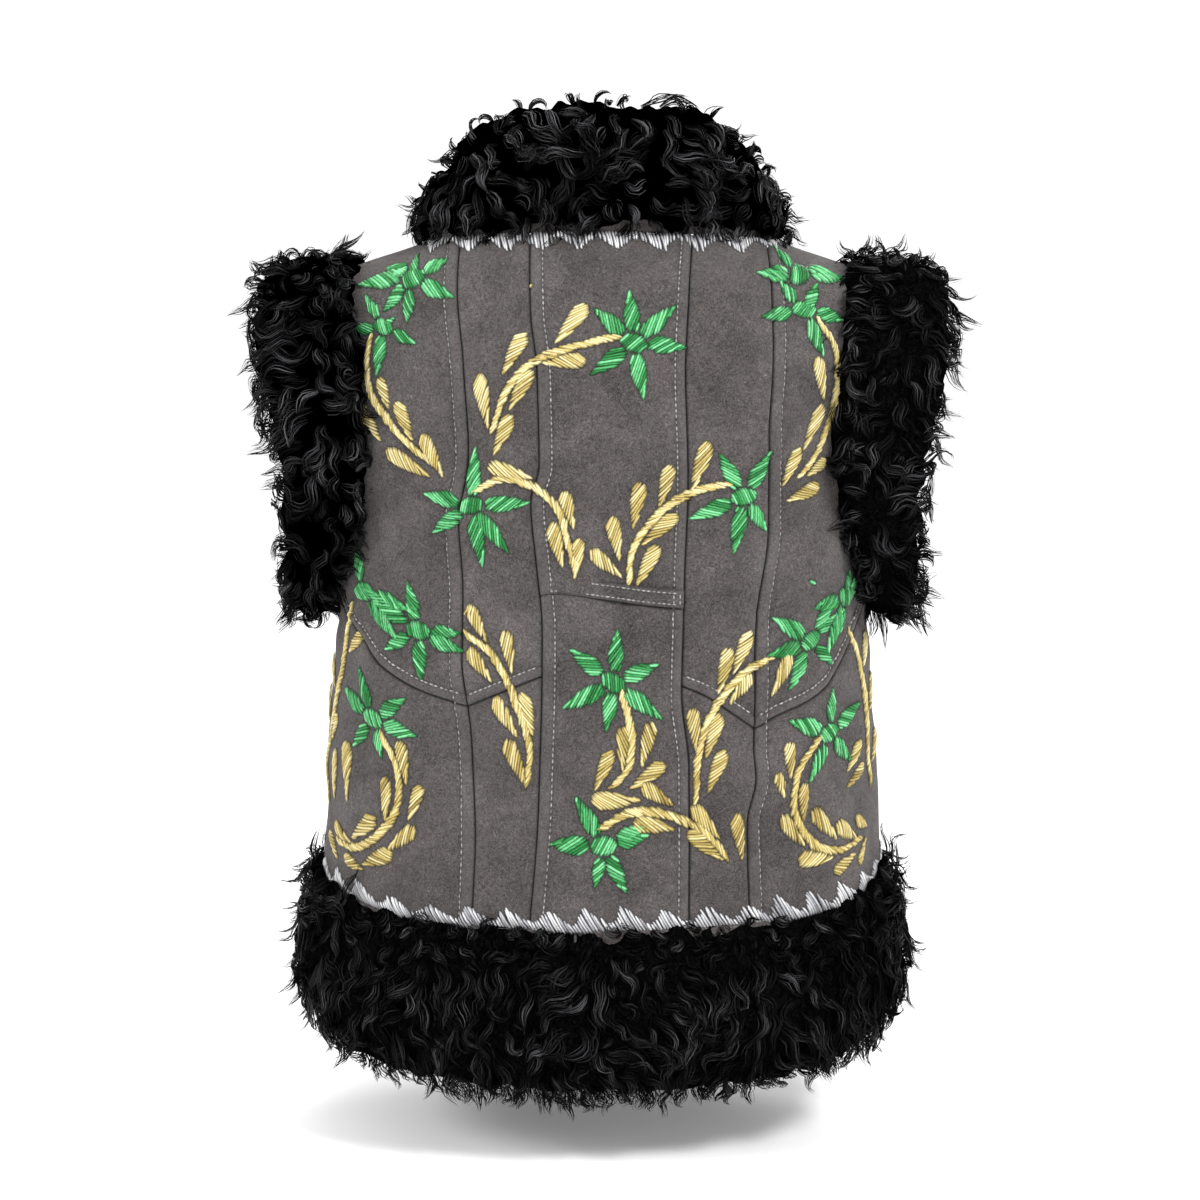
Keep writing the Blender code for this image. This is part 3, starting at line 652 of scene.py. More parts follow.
def shell(name, outer, inner, made, dark, painted_highlight=None):
    """A closed thin piece from a grid of outer points and one of inner points, whose lines
    are every second one of the outer grid."""
    rows, cols = outer.shape[:2]
    o = np.arange(rows * cols).reshape(rows, cols)
    r2, c2 = inner.shape[:2]
    i = rows * cols + np.arange(r2 * c2).reshape(r2, c2)
    quads = [
        np.stack([o[:-1, :-1], o[:-1, 1:], o[1:, 1:], o[1:, :-1]], -1).reshape(-1, 4),
        np.stack([i[:-1, :-1], i[1:, :-1], i[1:, 1:], i[:-1, 1:]], -1).reshape(-1, 4),
    ]
    rims = []
    for oo, ii, flip in ((o[0], i[0], False), (o[-1], i[-1], True), (o[:, 0], i[:, 0], True), (o[:, -1], i[:, -1], False)):
        five = np.stack([oo[0:-2:2], ii[:-1], ii[1:], oo[2::2], oo[1:-1:2]], -1)
        rims.append(five[:, ::-1] if flip else five)
    rims = np.concatenate(rims)
    points = np.concatenate([outer.reshape(-1, 3), inner.reshape(-1, 3)])
    # The first attribute carries painted shade and the second painted highlight, both mixed into the suede's colour.
    dark = np.concatenate([dark.ravel(), np.zeros(r2 * c2)])
    painted_highlight = np.zeros(len(points)) if painted_highlight is None else np.concatenate([painted_highlight.ravel(), np.zeros(r2 * c2)])
    slots = np.concatenate([np.zeros(len(quads[0])), np.ones(len(quads[1])), np.zeros(len(rims))])
    obj = mesh_object(name, points, [np.concatenate(quads), rims], made, [("dark", dark), ("painted_highlight", painted_highlight)], slots=slots)
    # outward faces
    a, b, c = outer[rows // 2, cols // 2], outer[rows // 2, cols // 2 + 1], outer[rows // 2 + 1, cols // 2]
    out = outer[rows // 2, cols // 2] - inner[r2 // 2, c2 // 2]
    if np.dot(np.cross(b - a, c - a), out) < 0:
        obj.data.flip_normals()
    return obj


def underlap(inner, by=0.55):
    """An inner face a little larger than its outer one, so that no light shows through a
    seam."""
    inner = inner.copy()
    inner[0] += unit(inner[0] - inner[1]) * by
    inner[-1] += unit(inner[-1] - inner[-2]) * by
    inner[:, 0] += unit(inner[:, 0] - inner[:, 1]) * by
    inner[:, -1] += unit(inner[:, -1] - inner[:, -2]) * by
    return inner


CUTS = {}
TRIS = {}


def triangles(obj):
    count = sum(len(p.vertices) - 2 for p in obj.data.polygons)
    TRIS[obj.name] = count
    return count


def panel(node, form, left, right, low, high, kinds, spacing=3.1, out=0.0, thick=SKIN):
    """A cut piece. left and right give x at heights v; low and high give v at a share of
    the way across. kinds are the finish of its left, right, low and high sides."""
    nl, nr, nb, nt = (near(k) for k in kinds)
    mid = (float(low(np.array(0.5))) + float(high(np.array(0.5)))) / 2
    width = float(right(np.array([mid]))[0] - left(np.array([mid]))[0])
    tall = float(high(np.array(0.5)) - low(np.array(0.5)))
    ca, cb, cc = lines(nl, nr, spaced(nl, nr, width, spacing))
    ra, rb, rc = (q[:, None] for q in lines(nb, nt, spaced(nb, nt, tall, spacing)))
    share_low = share_high = np.linspace(0, 1, len(ca))
    for _ in range(4):
        v = low(share_low)[None] * ra + high(share_high)[None] * rb + rc
        x_left, x_right = left(v), right(v)
        x = x_left * ca + x_right * cb + cc
        shares = (x - x_left) / (x_right - x_left)
        share_low, share_high = shares[0], shares[-1]
    s = form.s_of(x, v)
    base, normal = form.at(s, v), form.normal(s, v)
    h, dark, painted_highlight = relief(form, x, v)
    if out:
        edge = np.minimum(np.minimum(x - left(v), right(v) - x), np.minimum(v - v[0], v[-1] - v))
        inside = np.maximum(edge, 0)
        h = out + 0.25 * np.sin(v * 1.1 + x * 0.35) - 0.55 * np.exp(-(inside / 0.9) ** 2) - 0.5 * np.exp(-((inside - 2.3) / 0.8) ** 2)
        # Painted shade along the tab's edge and a painted highlight on the raised rim just inside it.
        dark = 0.55 * np.exp(-(inside / 0.6) ** 2)
        painted_highlight = 0.8 * np.exp(-((inside - 1.2) / 0.7) ** 2)
    outer = base + normal * h[..., None]
    inner = (base + normal * (h - thick)[..., None])[::2, ::2]
    if not out:
        inner = underlap(inner)
    piece = shell("suede_" + node, outer, inner, [suede, pile], dark, painted_highlight)
    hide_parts(node)
    a = base[:-1, :-1], base[:-1, 1:], base[1:, 1:], base[1:, :-1]
    area = 0.5 * (np.linalg.norm(np.cross(a[1] - a[0], a[2] - a[0]), axis=-1).sum() + np.linalg.norm(np.cross(a[2] - a[0], a[3] - a[0]), axis=-1).sum())
    wide = float((x.max() - x.min()))
    long = float(np.linalg.norm(np.diff(base, axis=0), axis=-1).sum(0).max())
    long = max(long, float(v.max() - v.min()))
    area = min(area, wide * long * 0.999)
    CUTS[node] = (round(wide), round(long), round(area / 100))
    return piece, wide * MM, long * MM, area * MM * MM


def cross(name):
    return lambda share: smooth(CROSS[name][0], share)


def flat(v):
    return lambda share: np.full_like(np.asarray(share, float), v)


def seam(key):
    return lambda v: long_x(key, v)


hem, neck = flat(V_HEM), flat(V_TOP)
STITCH = {key: far for key, (_, far) in STITCHED.items()}
PANELS = (
    # node, left, right, low, high, kinds, sewn to
    ("back_centre_lower", "b", "c", hem, cross("centre"), (STITCH["b"], STITCH["c"], "end", "plain"), ("back_centre_upper",)),
    ("back_centre_upper", "b", "c", cross("centre"), neck, (STITCH["b"], STITCH["c"], "plain", "end"), ()),
    ("back_inner_left_lower", "a", "b", hem, cross("ab"), ("plain", "plain", "end", "plain"), ("back_inner_left_upper",)),
    ("back_inner_left_upper", "a", "b", cross("ab"), neck, ("plain", "plain", CROSS_STITCH, "end"), ()),
    ("back_inner_right_lower", "c", "d", hem, cross("cd"), ("plain", "plain", "end", "plain"), ("back_inner_right_upper",)),
    ("back_inner_right_upper", "c", "d", cross("cd"), neck, ("plain", "plain", CROSS_STITCH, "end"), ()),
    ("back_outer_left_upper", "left", "a", cross("left"), neck, ("end", STITCH["a"], CROSS_STITCH, "end"), ()),
    ("back_outer_right_upper", "d", "right", cross("right"), neck, (STITCH["d"], "end", CROSS_STITCH, "end"), ()),
    ("side_left", "left", "a", hem, cross("left"), ("plain", STITCH["a"], "end", "plain"), ("back_outer_left_upper",)),
    ("side_right", "d", "right", hem, cross("right"), (STITCH["d"], "plain", "end", "plain"), ("back_outer_right_upper",)),
)
made_panels = {}
for node, left, right, low, high, kinds, sewn in PANELS:
    made_panels[node] = (*panel(node, back, seam(left), seam(right), low, high, kinds), sewn)
made_panels["front_left"] = (*panel("front_left", front, lambda v: -front.half(v), lambda v: np.full_like(v, -1.5), hem, neck, ("plain", 9.0, "end", "end"), 4.4), ())
made_panels["front_right"] = (*panel("front_right", front, lambda v: np.full_like(v, 1.5), lambda v: front.half(v), hem, neck, (9.0, "plain", "end", "end"), 4.4), ())
TAB = 12.0
made_panels["back_tab"] = (*panel(
    "back_tab", back, lambda v: long_x("b", v) + 0.4, lambda v: long_x("c", v) - 0.4,
    lambda share: smooth(CROSS_CENTRE, share) - 0.5, lambda share: smooth(CROSS_CENTRE, share) - 0.5 + TAB,
    ("end", "end", "end", "end"), 1.1, out=1.9, thick=1.5,
), ("back_centre_lower", "back_centre_upper"))
for node, (piece, wide, long, area, sewn) in made_panels.items():
    ["suede_" + name for name in sewn]


# ---- threads ---------------------------------------------------------------------------
rng = np.random.default_rng(31)


def threads(name, made, place, start, end, width, high, lift, tone, rows=(0.0, 0.13, 0.5, 0.87, 1.0), pointed=0.55, hole=0.75, deep=0.9, fringe=1.46, ends=None):
    """Half-round stitches from start to end, arrays of (x, v), on the surface that place
    gives, each ending in the two needle holes it goes down. width, high and lift are sizes
    of each: its width, its thickness and how far its middle stands up. ends is how much
    each row lies in shade."""
    start, end = np.asarray(start, float), np.asarray(end, float)
    n = len(start)
    width, high, lift, tone = (np.broadcast_to(np.asarray(q, float), (n,)) for q in (width, high, lift, tone))
    along = end - start
    length = np.maximum(np.linalg.norm(along, axis=1), 1e-6)
    rows = np.array(rows)
    m = len(rows) + 2
    beyond = (hole / length)[:, None]
    t = np.concatenate([-beyond, np.broadcast_to(rows, (n, len(rows))), 1 + beyond], 1)
    side = np.stack([-along[:, 1], along[:, 0]], -1) / length[:, None]
    centre = start[:, None] + along[:, None] * t[..., None]
    rim = 0.42 if len(rows) == 3 else 0.86
    full = np.array([rim] + [pointed if r in (0.0, 1.0) else 1.0 for r in rows] + [rim])
    body = np.array([0.0] + [1.0] * len(rows) + [0.0])
    u = np.array([-fringe, -0.84, 0.0, 0.84, fringe])
    across = len(u)
    spot = centre[:, :, None] + side[:, None, None] * (u[None, None, :, None] * ((width[:, None] / 2) * full[None])[:, :, None, None])
    round_over = np.array([0.0, 0.66, 1.0, 0.66, 0.0])
    rise = lift[:, None] * np.clip(1 - np.abs(2 * t - 1) ** 2.6, 0, 1)
    thick = high[:, None] * (full * body)[None]
    up = rise[:, :, None] * (0.25 + 0.75 * round_over) + thick[:, :, None] * round_over + 0.25
    points = place(spot[..., 0].ravel(), spot[..., 1].ravel(), up.ravel())
    index = np.arange(n * m * across).reshape(n, m, across)
    quads = np.stack([index[:, :-1, :-1], index[:, :-1, 1:], index[:, 1:, 1:], index[:, 1:, :-1]], -1).reshape(-1, 4)
    shift = rng.uniform(0, 90, n)
    uv = np.stack([np.broadcast_to((t * length[:, None] + shift[:, None])[:, :, None], (n, m, across)), np.broadcast_to(u[None, None] + shift[:, None, None] * 3, (n, m, across))], -1)
    tones = np.broadcast_to(tone[:, None, None], (n, m, across))
    # Painted shade: each stitch's sides and fringe, and its needle holes at both ends, are darkened toward black
    # through deep.
    edges = np.array([1.0, 0.52, 0.0, 0.52, 1.0]) * deep
    ends = np.array([1.0] + list(ends or [0.62 if r in (0.0, 1.0) else 0.0 for r in rows]) + [1.0])
    depth = np.broadcast_to(np.maximum(edges[None, None], ends[None, :, None]), (n, m, across))
    obj = mesh_object(name, points, [quads], made, [("tone", tones), ("deep", depth)], uv=uv)
    return obj


def turn(v, degrees):
    a = math.radians(degrees)
    return np.array([v[0] * math.cos(a) - v[1] * math.sin(a), v[0] * math.sin(a) + v[1] * math.cos(a)])


def fill_shape(base, tip, outline, half_width, slant, pitch, ragged, opening=0.45, point=None):
    """Slanting satin stitches across a shape from base to tip, each a chord of its outline.
    point, 0 for the base or 1 for the tip, is the end that comes to a point: its last
    stitch lies nearly along the shape."""
    base, tip = np.array(base, float), np.array(tip, float)
    long = float(np.linalg.norm(tip - base))
    axis = (tip - base) / long
    out = np.array([-axis[1], axis[0]])
    made = []
    q = np.linspace(0, 1, 60)
    edge = np.stack([np.concatenate([q, q]) * long, np.concatenate([outline(q), -outline(q)]) * half_width], -1)
    lean = math.radians(slant)
    fan = math.radians(rng.uniform(-4, 4))
    across = np.array([-math.sin(lean), math.cos(lean)])
    reach = edge @ across
    middle = np.array([long * 0.5, 0.0])
    first, last = reach.min() + 0.24 * pitch, reach.max() - 0.24 * pitch
    count = max(3, int(round((last - first) / pitch)) + 1)
    r = np.linspace(-long, long, 300)
    for c in np.linspace(first, last, count) + rng.uniform(-0.09, 0.09, count) * pitch:
        # the stitches open out towards the tip
        share = np.clip(0.5 - math.copysign(1.0, lean) * ((c - reach.min()) / (reach.max() - reach.min()) - 0.5), 0, 1)
        way = lean * (0.78 + opening * share) + fan * (2 * share - 1) + math.radians(rng.normal(0, 1.6))
        direction = np.array([math.cos(way), math.sin(way)])
        start = middle + across * (c - middle @ across)
        line = start + direction * r[:, None]
        share = line[:, 0] / long
        inside = (share > 0) & (share < 1) & (np.abs(line[:, 1]) <= half_width * outline(np.clip(share, 0, 1)))
        if inside.any():
            low, high = r[inside][0] - rng.uniform(-ragged, ragged), r[inside][-1] + rng.uniform(-ragged, ragged)
            if high - low > 2.5:
                one, two = start + direction * low, start + direction * high
                made.append((base + axis * one[0] + out * one[1], base + axis * two[0] + out * two[1]))
    if point is not None:
        way = lean * 0.38
        part = long * 0.36 * np.array([math.cos(way), math.sin(way)])
        one, two = (np.array([long + 0.2, 0.0]) - part, np.array([long + 0.2, 0.0])) if point else (np.array([-0.2, 0.0]), np.array([-0.2, 0.0]) + part)
        made.append((base + axis * one[0] + out * one[1], base + axis * two[0] + out * two[1]))
    return made


def petal_outline(q):
    q = np.clip(q, 0, 1)
    return (0.5 + 0.5 * np.sin(np.pi / 2 * np.minimum(q / 0.36, 1))) * (1 - np.clip((q - 0.36) / 0.64, 0, 1) ** 1.45)


def leaf_outline(q):
    q = np.clip(q, 0, 1)
    return (0.12 + 0.88 * np.sin(np.pi / 2 * np.minimum(q / 0.74, 1)) ** 1.15) * np.sqrt(1 - np.clip((q - 0.80) / 0.20, 0, 1) ** 2)


# Flowers: centre (x, v), and its petals as (way, length to the tip)
FLOWERS = (
    ((-136, 560), ((180, 49), (165, 29), (105, 17), (30, 29), (-20, 33), (-95, 28), (-140, 30))),
    ((-159, 529), ((125, 27), (-175, 29), (30, 11), (-25, 29), (-100, 36))),
    ((22, 518), ((95, 34), (40, 37), (-5, 36), (-80, 37), (-145, 36), (140, 35))),
    ((145, 562), ((175, 35), (125, 26), (10, 33), (5, 41))),
    ((145, 541), ((-170, 33), (135, 25), (50, 20), (-10, 37), (-65, 37))),
    ((-92, 408), ((85, 40), (5, 41), (-50, 41), (-80, 42), (-145, 35), (170, 36))),
    ((99, 414), ((55, 36), (-55, 30), (-100, 39), (-160, 40), (120, 34))),
    ((-133, 322), ((105, 32), (0, 31), (-20, 35), (-85, 32), (-150, 29), (155, 53))),
    ((-181, 342), ((105, 29), (-10, 41), (-40, 42))),
    ((154, 313), ((150, 36), (50, 34), (30, 28), (-40, 27), (-125, 35), (-170, 36))),
    ((190, 337), ((85, 17), (30, 31), (-175, 34), (-120, 40), (-105, 23), (0, 16))),
    ((-171, 260), ((115, 34), (30, 33), (-10, 37), (-70, 25), (-135, 30), (160, 39))),
    ((169, 251), ((80, 28), (20, 38), (-45, 30), (-120, 33), (160, 37))),
    ((8, 293), ((85, 34), (145, 37), (20, 33), (-35, 41), (-100, 31), (-155, 39))),
    ((1, 193), ((125, 34), (180, 38), (-105, 25), (-60, 32), (10, 32), (20, 32))),
)
# Vines: a stem through places (x, v), and its leaves as (share of the way along the stem,
# offset to its left, offset along it, way, length)
VINES = (
    (((12, 523), (-11, 518), (-33, 511), (-54, 500), (-68, 482), (-76, 460)),
     ((0.37, -6, 0, 50, 33), (0.69, -9, 1, 60, 31), (0.48, 3, 0, 5, 29), (0.85, 7, 0, 60, 30), (1.00, -4, 0, 100, 36), (1.00, 6, 15, 65, 29))),
    (((-91, 417), (-70, 427), (-48, 422), (-31, 407), (-24, 385), (-18, 363)),
     ((0.37, 5, 0, 165, 31), (0.73, 6, 0, 105, 26), (0.93, -8, 0, 105, 31), (0.99, 0, 0, 85, 23))),
    (((90, 424), (68, 420), (49, 411), (33, 396), (21, 378), (19, 357)),
     ((0.25, -2, 0, 70, 34), (0.47, -4, 0, 75, 29), (0.68, -8, 0, 80, 32), (0.86, -8, 0, 100, 30), (0.96, -6, 0, 140, 28), (0.73, 4, 0, 40, 32), (1.00, 5, 1, 60, 30))),
    (((-171, 523), (-174, 502), (-170, 481), (-157, 464), (-142, 449), (-124, 437)),
     ((0.56, 6, 0, 110, 22), (0.82, 4, 0, 115, 28), (1.00, -3, 14, 120, 32), (1.00, -9, 6, 155, 37), (0.67, -14, 0, 130, 29))),
    (((155, 535), (171, 515), (175, 490), (171, 465), (161, 442), (143, 424)),
     ((0.52, -10, 0, 105, 31), (0.87, -12, 0, 60, 34), (1.00, -7, 13, 60, 29), (0.95, 4, 0, 25, 21), (1.00, 3, 18, 15, 30))),
    (((-99, 322), (-80, 311), (-67, 292), (-57, 271), (-51, 249), (-53, 227)),
     ((0.14, 4, 0, 120, 26), (0.36, 6, 0, 100, 27), (0.34, -10, 0, 130, 26), (0.72, 4, 0, 105, 28), (0.70, -7, 0, 125, 29), (1.00, -1, 0, 115, 32))),
    (((120, 306), (100, 296), (84, 280), (73, 261), (68, 239), (67, 217)),
     ((0.24, -5, 0, 65, 30), (0.38, -4, 0, 75, 30), (0.08, 23, 0, 60, 30), (0.38, 7, 0, 50, 23), (0.72, -3, 0, 95, 27), (0.75, 5, 0, 70, 29), (0.95, 8, 0, 65, 28), (1.00, 17, 21, 135, 27))),
    (((-164, 252), (-150, 231), (-151, 206), (-168, 187), (-191, 176), (-216, 174)),
     ((0.27, 6, 0, 100, 27), (0.49, -3, 0, 90, 26), (0.40, 11, 0, 65, 23), (0.80, -6, 0, 35, 30), (0.56, 11, 0, 35, 26), (0.74, 11, 1, 25, 29), (0.76, 14, 0, 175, 23), (0.83, -3, 0, 170, 26), (1.00, 12, 1, 150, 23))),
    (((160, 250), (143, 230), (141, 205), (156, 185), (180, 177), (207, 178)),
     ((0.24, -5, 0, 95, 23), (0.32, -8, 0, 110, 16), (0.46, 4, 0, 90, 22), (0.55, -5, 0, 135, 27), (0.74, 7, 0, 135, 28), (0.73, -4, 0, 175, 28), (0.94, 2, 0, 150, 28), (0.92, -7, 0, -165, 25), (1.00, -3, 9, -135, 19), (1.00, 4, 9, 150, 18))),
    (((-195, 333), (-207, 300), (-221, 268), (-237, 236), (-258, 209), (-236, 194)),
     ((0.20, 6, 0, 40, 22), (0.42, -6, 0, 125, 24), (0.60, -6, 0, 120, 26), (0.62, 6, 0, 60, 22), (1.00, 30, 28, 95, 37), (1.00, 14, 11, 85, 31))),
    (((194, 314), (207, 296), (212, 274), (212, 252), (214, 230), (222, 209)),
     ((0.30, 6, 0, 60, 24), (0.55, 6, 0, 55, 26), (0.80, -27, 0, 50, 22), (0.86, -29, 0, 30, 21), (0.90, 6, 0, 50, 24))),
    (((13, 287), (18, 271), (21, 255), (18, 239), (7, 227)),
     ((0.80, -2, 0, 90, 27), (1.00, -8, 9, 65, 27), (0.69, 9, 0, 75, 28), (0.86, 9, 0, 30, 28))),
    (((-2, 202), (16, 211), (36, 212), (56, 207), (74, 198), (89, 184)),
     ((0.30, 7, 0, 180, 34), (0.52, 6, 0, 150, 26), (0.56, -7, 0, 170, 29), (0.98, -3, 0, 145, 30), (1.00, 6, 9, 100, 27))),
)


def through(points, count):
    """A smooth line through places, and its ways."""
    p = np.array(points, float)
    p = np.concatenate([[2 * p[0] - p[1]], p, [2 * p[-1] - p[-2]]])
    t = np.linspace(0, len(points) - 1, count)
    k = np.clip(t.astype(int), 0, len(points) - 2)
    f = (t - k)[:, None]
    a, b, c, d = p[k], p[k + 1], p[k + 2], p[k + 3]
    line = 0.5 * (2 * b + (c - a) * f + (2*a - 5*b + 4*c - d) * f**2 + (3*b - a - 3*c + d) * f**3)
    run = np.concatenate([[0], np.cumsum(np.linalg.norm(np.diff(line, axis=0), axis=1))])
    return line, unit(np.gradient(line, axis=0)), run


green_stitches, yellow_stitches, yellow_tones = [], [], []
for centre, petals in FLOWERS:
    centre = np.array(centre, float)
    eye = rng.uniform(60, 110)
    a = centre + turn((9.0, 0), eye + 90)
    b = centre - turn((9.0, 0), eye + 90)
    green_stitches += fill_shape(a, b, lambda q: np.sin(np.pi * np.clip(q * 0.9 + 0.05, 0, 1)) ** 0.55, 5.6, rng.choice([-1, 1]) * rng.uniform(66, 84), 1.8, 0.45, 0.0)
    for way, long in petals:
        axis = turn((1.0, 0.0), way)
        # the petals stand clear of the oval eye
        off = math.radians(way - eye - 90)
        start = 1.7 + 1 / math.hypot(math.cos(off) / 9.0, math.sin(off) / 5.6) if long > 22 else 3.0
        base, tip = centre + axis * start, centre + axis * long
        body = long - start
        slant = rng.choice([-1, 1], p=[0.7, 0.3]) * rng.uniform(30, 46)
        green_stitches += fill_shape(base, tip, petal_outline, min(5.6, 1.9 + body * 0.135), slant, 1.75, 0.5, 0.1, 1)
for stem, leaves in VINES:
    line, ways, run = through(stem, 240)
    at = 1.5
    while at < run[-1] - 1.0:
        k = int(np.searchsorted(run, at))
        middle, way = line[k], ways[k]
        share = at / run[-1]
        thick = 0.75 + 0.35 * math.sin(math.pi * min(1.0, share * 1.1))
        direction = turn(way, -26 + rng.uniform(-5, 5))
        reach = (4.9 + rng.uniform(-0.9, 0.9)) * thick
        off = turn(way, 90) * rng.uniform(-0.5, 0.5)
        yellow_stitches.append((middle + off - direction * reach, middle + off + direction * reach))
        yellow_tones.append(share)
        at += 1.8 * rng.uniform(0.88, 1.12)
    for share, left, ahead, way, long in leaves:
        k = int(np.searchsorted(run, min(share * run[-1], run[-1] - 1e-6)))
        base = line[k] + turn(ways[k], 90) * left + ways[k] * ahead
        axis = turn((1.0, 0.0), way)
        tip = base + axis * long
        new = fill_shape(base, tip, leaf_outline, min(5.2, 1.8 + long * 0.105), rng.choice([-1, 1], p=[0.75, 0.25]) * rng.uniform(22, 36), 1.75, 0.45, point=0)
        yellow_stitches += new
        yellow_tones += [share] * len(new)
# small ends of thread left by the needle
yellow_stitches.append((np.array([-49.8, 556.2]), np.array([-49.3, 554.4])))
yellow_tones.append(0.0)
green_stitches.append((np.array([152.0, 352.0]), np.array([156.0, 350.0])))


def as_arrays(stitches):
    return np.array([s[0] for s in stitches]), np.array([s[1] for s in stitches])


a, b = as_arrays(green_stitches)
count = len(a)
length = np.linalg.norm(b - a, axis=1)
green_piece = threads("embroidery_green", green, round_cloth, a, b, rng.uniform(1.42, 1.72, count), rng.uniform(0.8, 1.15, count), np.clip(0.3 + length * 0.045, 0.3, 1.0) + rng.uniform(-0.08, 0.12, count), rng.uniform(0.12, 0.88, count), hole=0.9, deep=1.0, fringe=1.8)
a, b = as_arrays(yellow_stitches)
count = len(a)
length = np.linalg.norm(b - a, axis=1)
low_down = 1 - step(190, 330, (a[:, 1] + b[:, 1]) / 2)
tone = np.clip(rng.uniform(0.2, 0.97, count) - 0.18 * low_down, 0, 1)
yellow_piece = threads("embroidery_yellow", yellow, round_cloth, a, b, rng.uniform(1.42, 1.72, count), rng.uniform(0.8, 1.15, count), np.clip(0.3 + length * 0.045, 0.3, 0.95) + rng.uniform(-0.08, 0.12, count), tone, hole=0.85, deep=1.0, fringe=1.75)


# ---- topstitching ----------------------------------------------------------------------
def run_of_stitches(line, pitch=3.8, stitch=2.3):
    """Stitches along a line of (x, v)."""
    run = np.concatenate([[0], np.cumsum(np.linalg.norm(np.diff(line, axis=0), axis=1))])
    starts = np.arange(1.0, run[-1] - stitch, pitch)
    starts = starts + rng.uniform(-0.25, 0.25, len(starts))
    at = lambda d: np.stack([np.interp(d, run, line[:, 0]), np.interp(d, run, line[:, 1])], -1)
    return at(starts), at(starts + stitch * rng.uniform(0.85, 1.12, len(starts)))


SHORT = (0.0, 0.5, 1.0)
top_starts, top_ends = [], []
for key, (side, far) in STITCHED.items():
    v = SEAM_V[2:-2]
    sa, sb = run_of_stitches(np.stack([long_x(key, v) + side * far, v], -1))
    top_starts.append(sa), top_ends.append(sb)
for name, (lx, lv, cos) in CROSS_LINES.items():
    if name == "centre":
        continue
    slope = np.gradient(lv) / np.gradient(lx)
    nx, nv = -slope * cos, cos
    line = np.stack([lx + nx * CROSS_STITCH, lv + nv * CROSS_STITCH], -1)
    low, high = long_x(CROSS[name][1], line[:, 1]), long_x(CROSS[name][2], line[:, 1])
    keep = (line[:, 0] > low + 1.5) & (line[:, 0] < high - 1.5)
    sa, sb = run_of_stitches(line[keep])
    top_starts.append(sa), top_ends.append(sb)
a, b = np.concatenate(top_starts), np.concatenate(top_ends)
count = len(a)
threads("topstitch_back", pale, round_cloth, a, b, 0.96, 0.5, 0.14, rng.uniform(0.3, 1, count), SHORT, 0.7, 1.0, deep=0.9)

cx, cv, _ = CROSS_LINES["centre"]
tab_lines = [
    np.stack([cx, cv - 0.5 + 2.4], -1)[2:-2], np.stack([cx, cv - 0.5 + TAB - 2.4], -1)[2:-2],
]
for end, sign in ((0, 1), (-1, -1)):
    v = np.linspace(cv[end] + 1.6, cv[end] + TAB - 3.2, 12)
    for off in (3.2, 7.6):
        tab_lines.append(np.stack([np.full(12, cx[end] + sign * off), v], -1))
tab_a, tab_b = zip(*(run_of_stitches(line, 3.6, 2.3) for line in tab_lines))
a, b = np.concatenate(tab_a), np.concatenate(tab_b)


def on_tab(x, v, high):
    s = back.s_of(x, v)
    return back.at(s, v) + back.normal(s, v) * (1.45 + high)[:, None]


threads("topstitch_tab", pale, on_tab, a, b, 0.96, 0.5, 0.14, rng.uniform(0.3, 1, len(a)), SHORT, 0.7, 1.0, deep=0.9)
v = np.arange(V_HEM + 3, V_TOP - 8, 1.0)
for side in (-1, 1):
    a, b = run_of_stitches(np.stack([np.full_like(v, side * 10.5), v], -1))
    threads("topstitch_front_" + ("left" if side < 0 else "right"), pale, lambda x, v, high: on_cloth(front, x, v, high), a, b, 0.96, 0.5, 0.14, rng.uniform(0.3, 1, len(a)), SHORT, 0.7, 1.0, deep=0.9)


# ---- white scalloped stitching at the hem and the neck -----------------------------------
def scallops(low, high, seed):
    """Height of the scalloped edge at every 2.15 mm from low to high."""
    own = np.random.default_rng(seed)
    peaks, tall = [low - own.uniform(0, 20)], [own.uniform(12.0, 17.5)]
    while peaks[-1] < high + 30:
        peaks.append(peaks[-1] + own.uniform(24, 34))
        tall.append(own.uniform(12.0, 17.5))
    peaks, tall = np.array(peaks), np.array(tall)
    x = np.arange(low, high, 2.4)
    x = x + own.uniform(-0.25, 0.25, len(x))
    k = np.clip(np.searchsorted(peaks, x) - 1, 0, len(peaks) - 2)
    f = (x - peaks[k]) / (peaks[k + 1] - peaks[k])
    edge = np.where(f < 0.5, tall[k], tall[k + 1])
    rise = 0.55 * np.abs(2 * f - 1) ** 1.15 + 0.45 * (0.5 + 0.5 * np.cos(2 * np.pi * f))
    from_peak = (peaks[np.where(f < 0.5, k, k + 1)] - x) * rise
    return x, 4.4 + (edge - 4.4) * rise + own.uniform(-0.9, 0.9, len(x)), from_peak


def scalloped(name, place, x, length, from_peak, base, way, lean, gather):
    """Long and short stitches side by side, gathered a little towards each peak."""
    n = len(x)
    start = base - way * rng.uniform(0, 1.1, n)
    a = np.stack([x, start], -1)
    b = np.stack([x + (lean + rng.normal(0, 0.045, n)) * (length + 2.0) + gather * from_peak, base + way * length], -1)
    # ends paints shade on the rows of each stitch, darkest at its base.
    return threads(name, white, place, a, b, rng.uniform(1.32, 1.7, n), 1.25, 0.8, rng.uniform(0.1, 1, n), pointed=0.6, hole=0.9, deep=1.0, fringe=1.62, ends=(0.8, 0.5, 0.2, 0.0, 0.12))


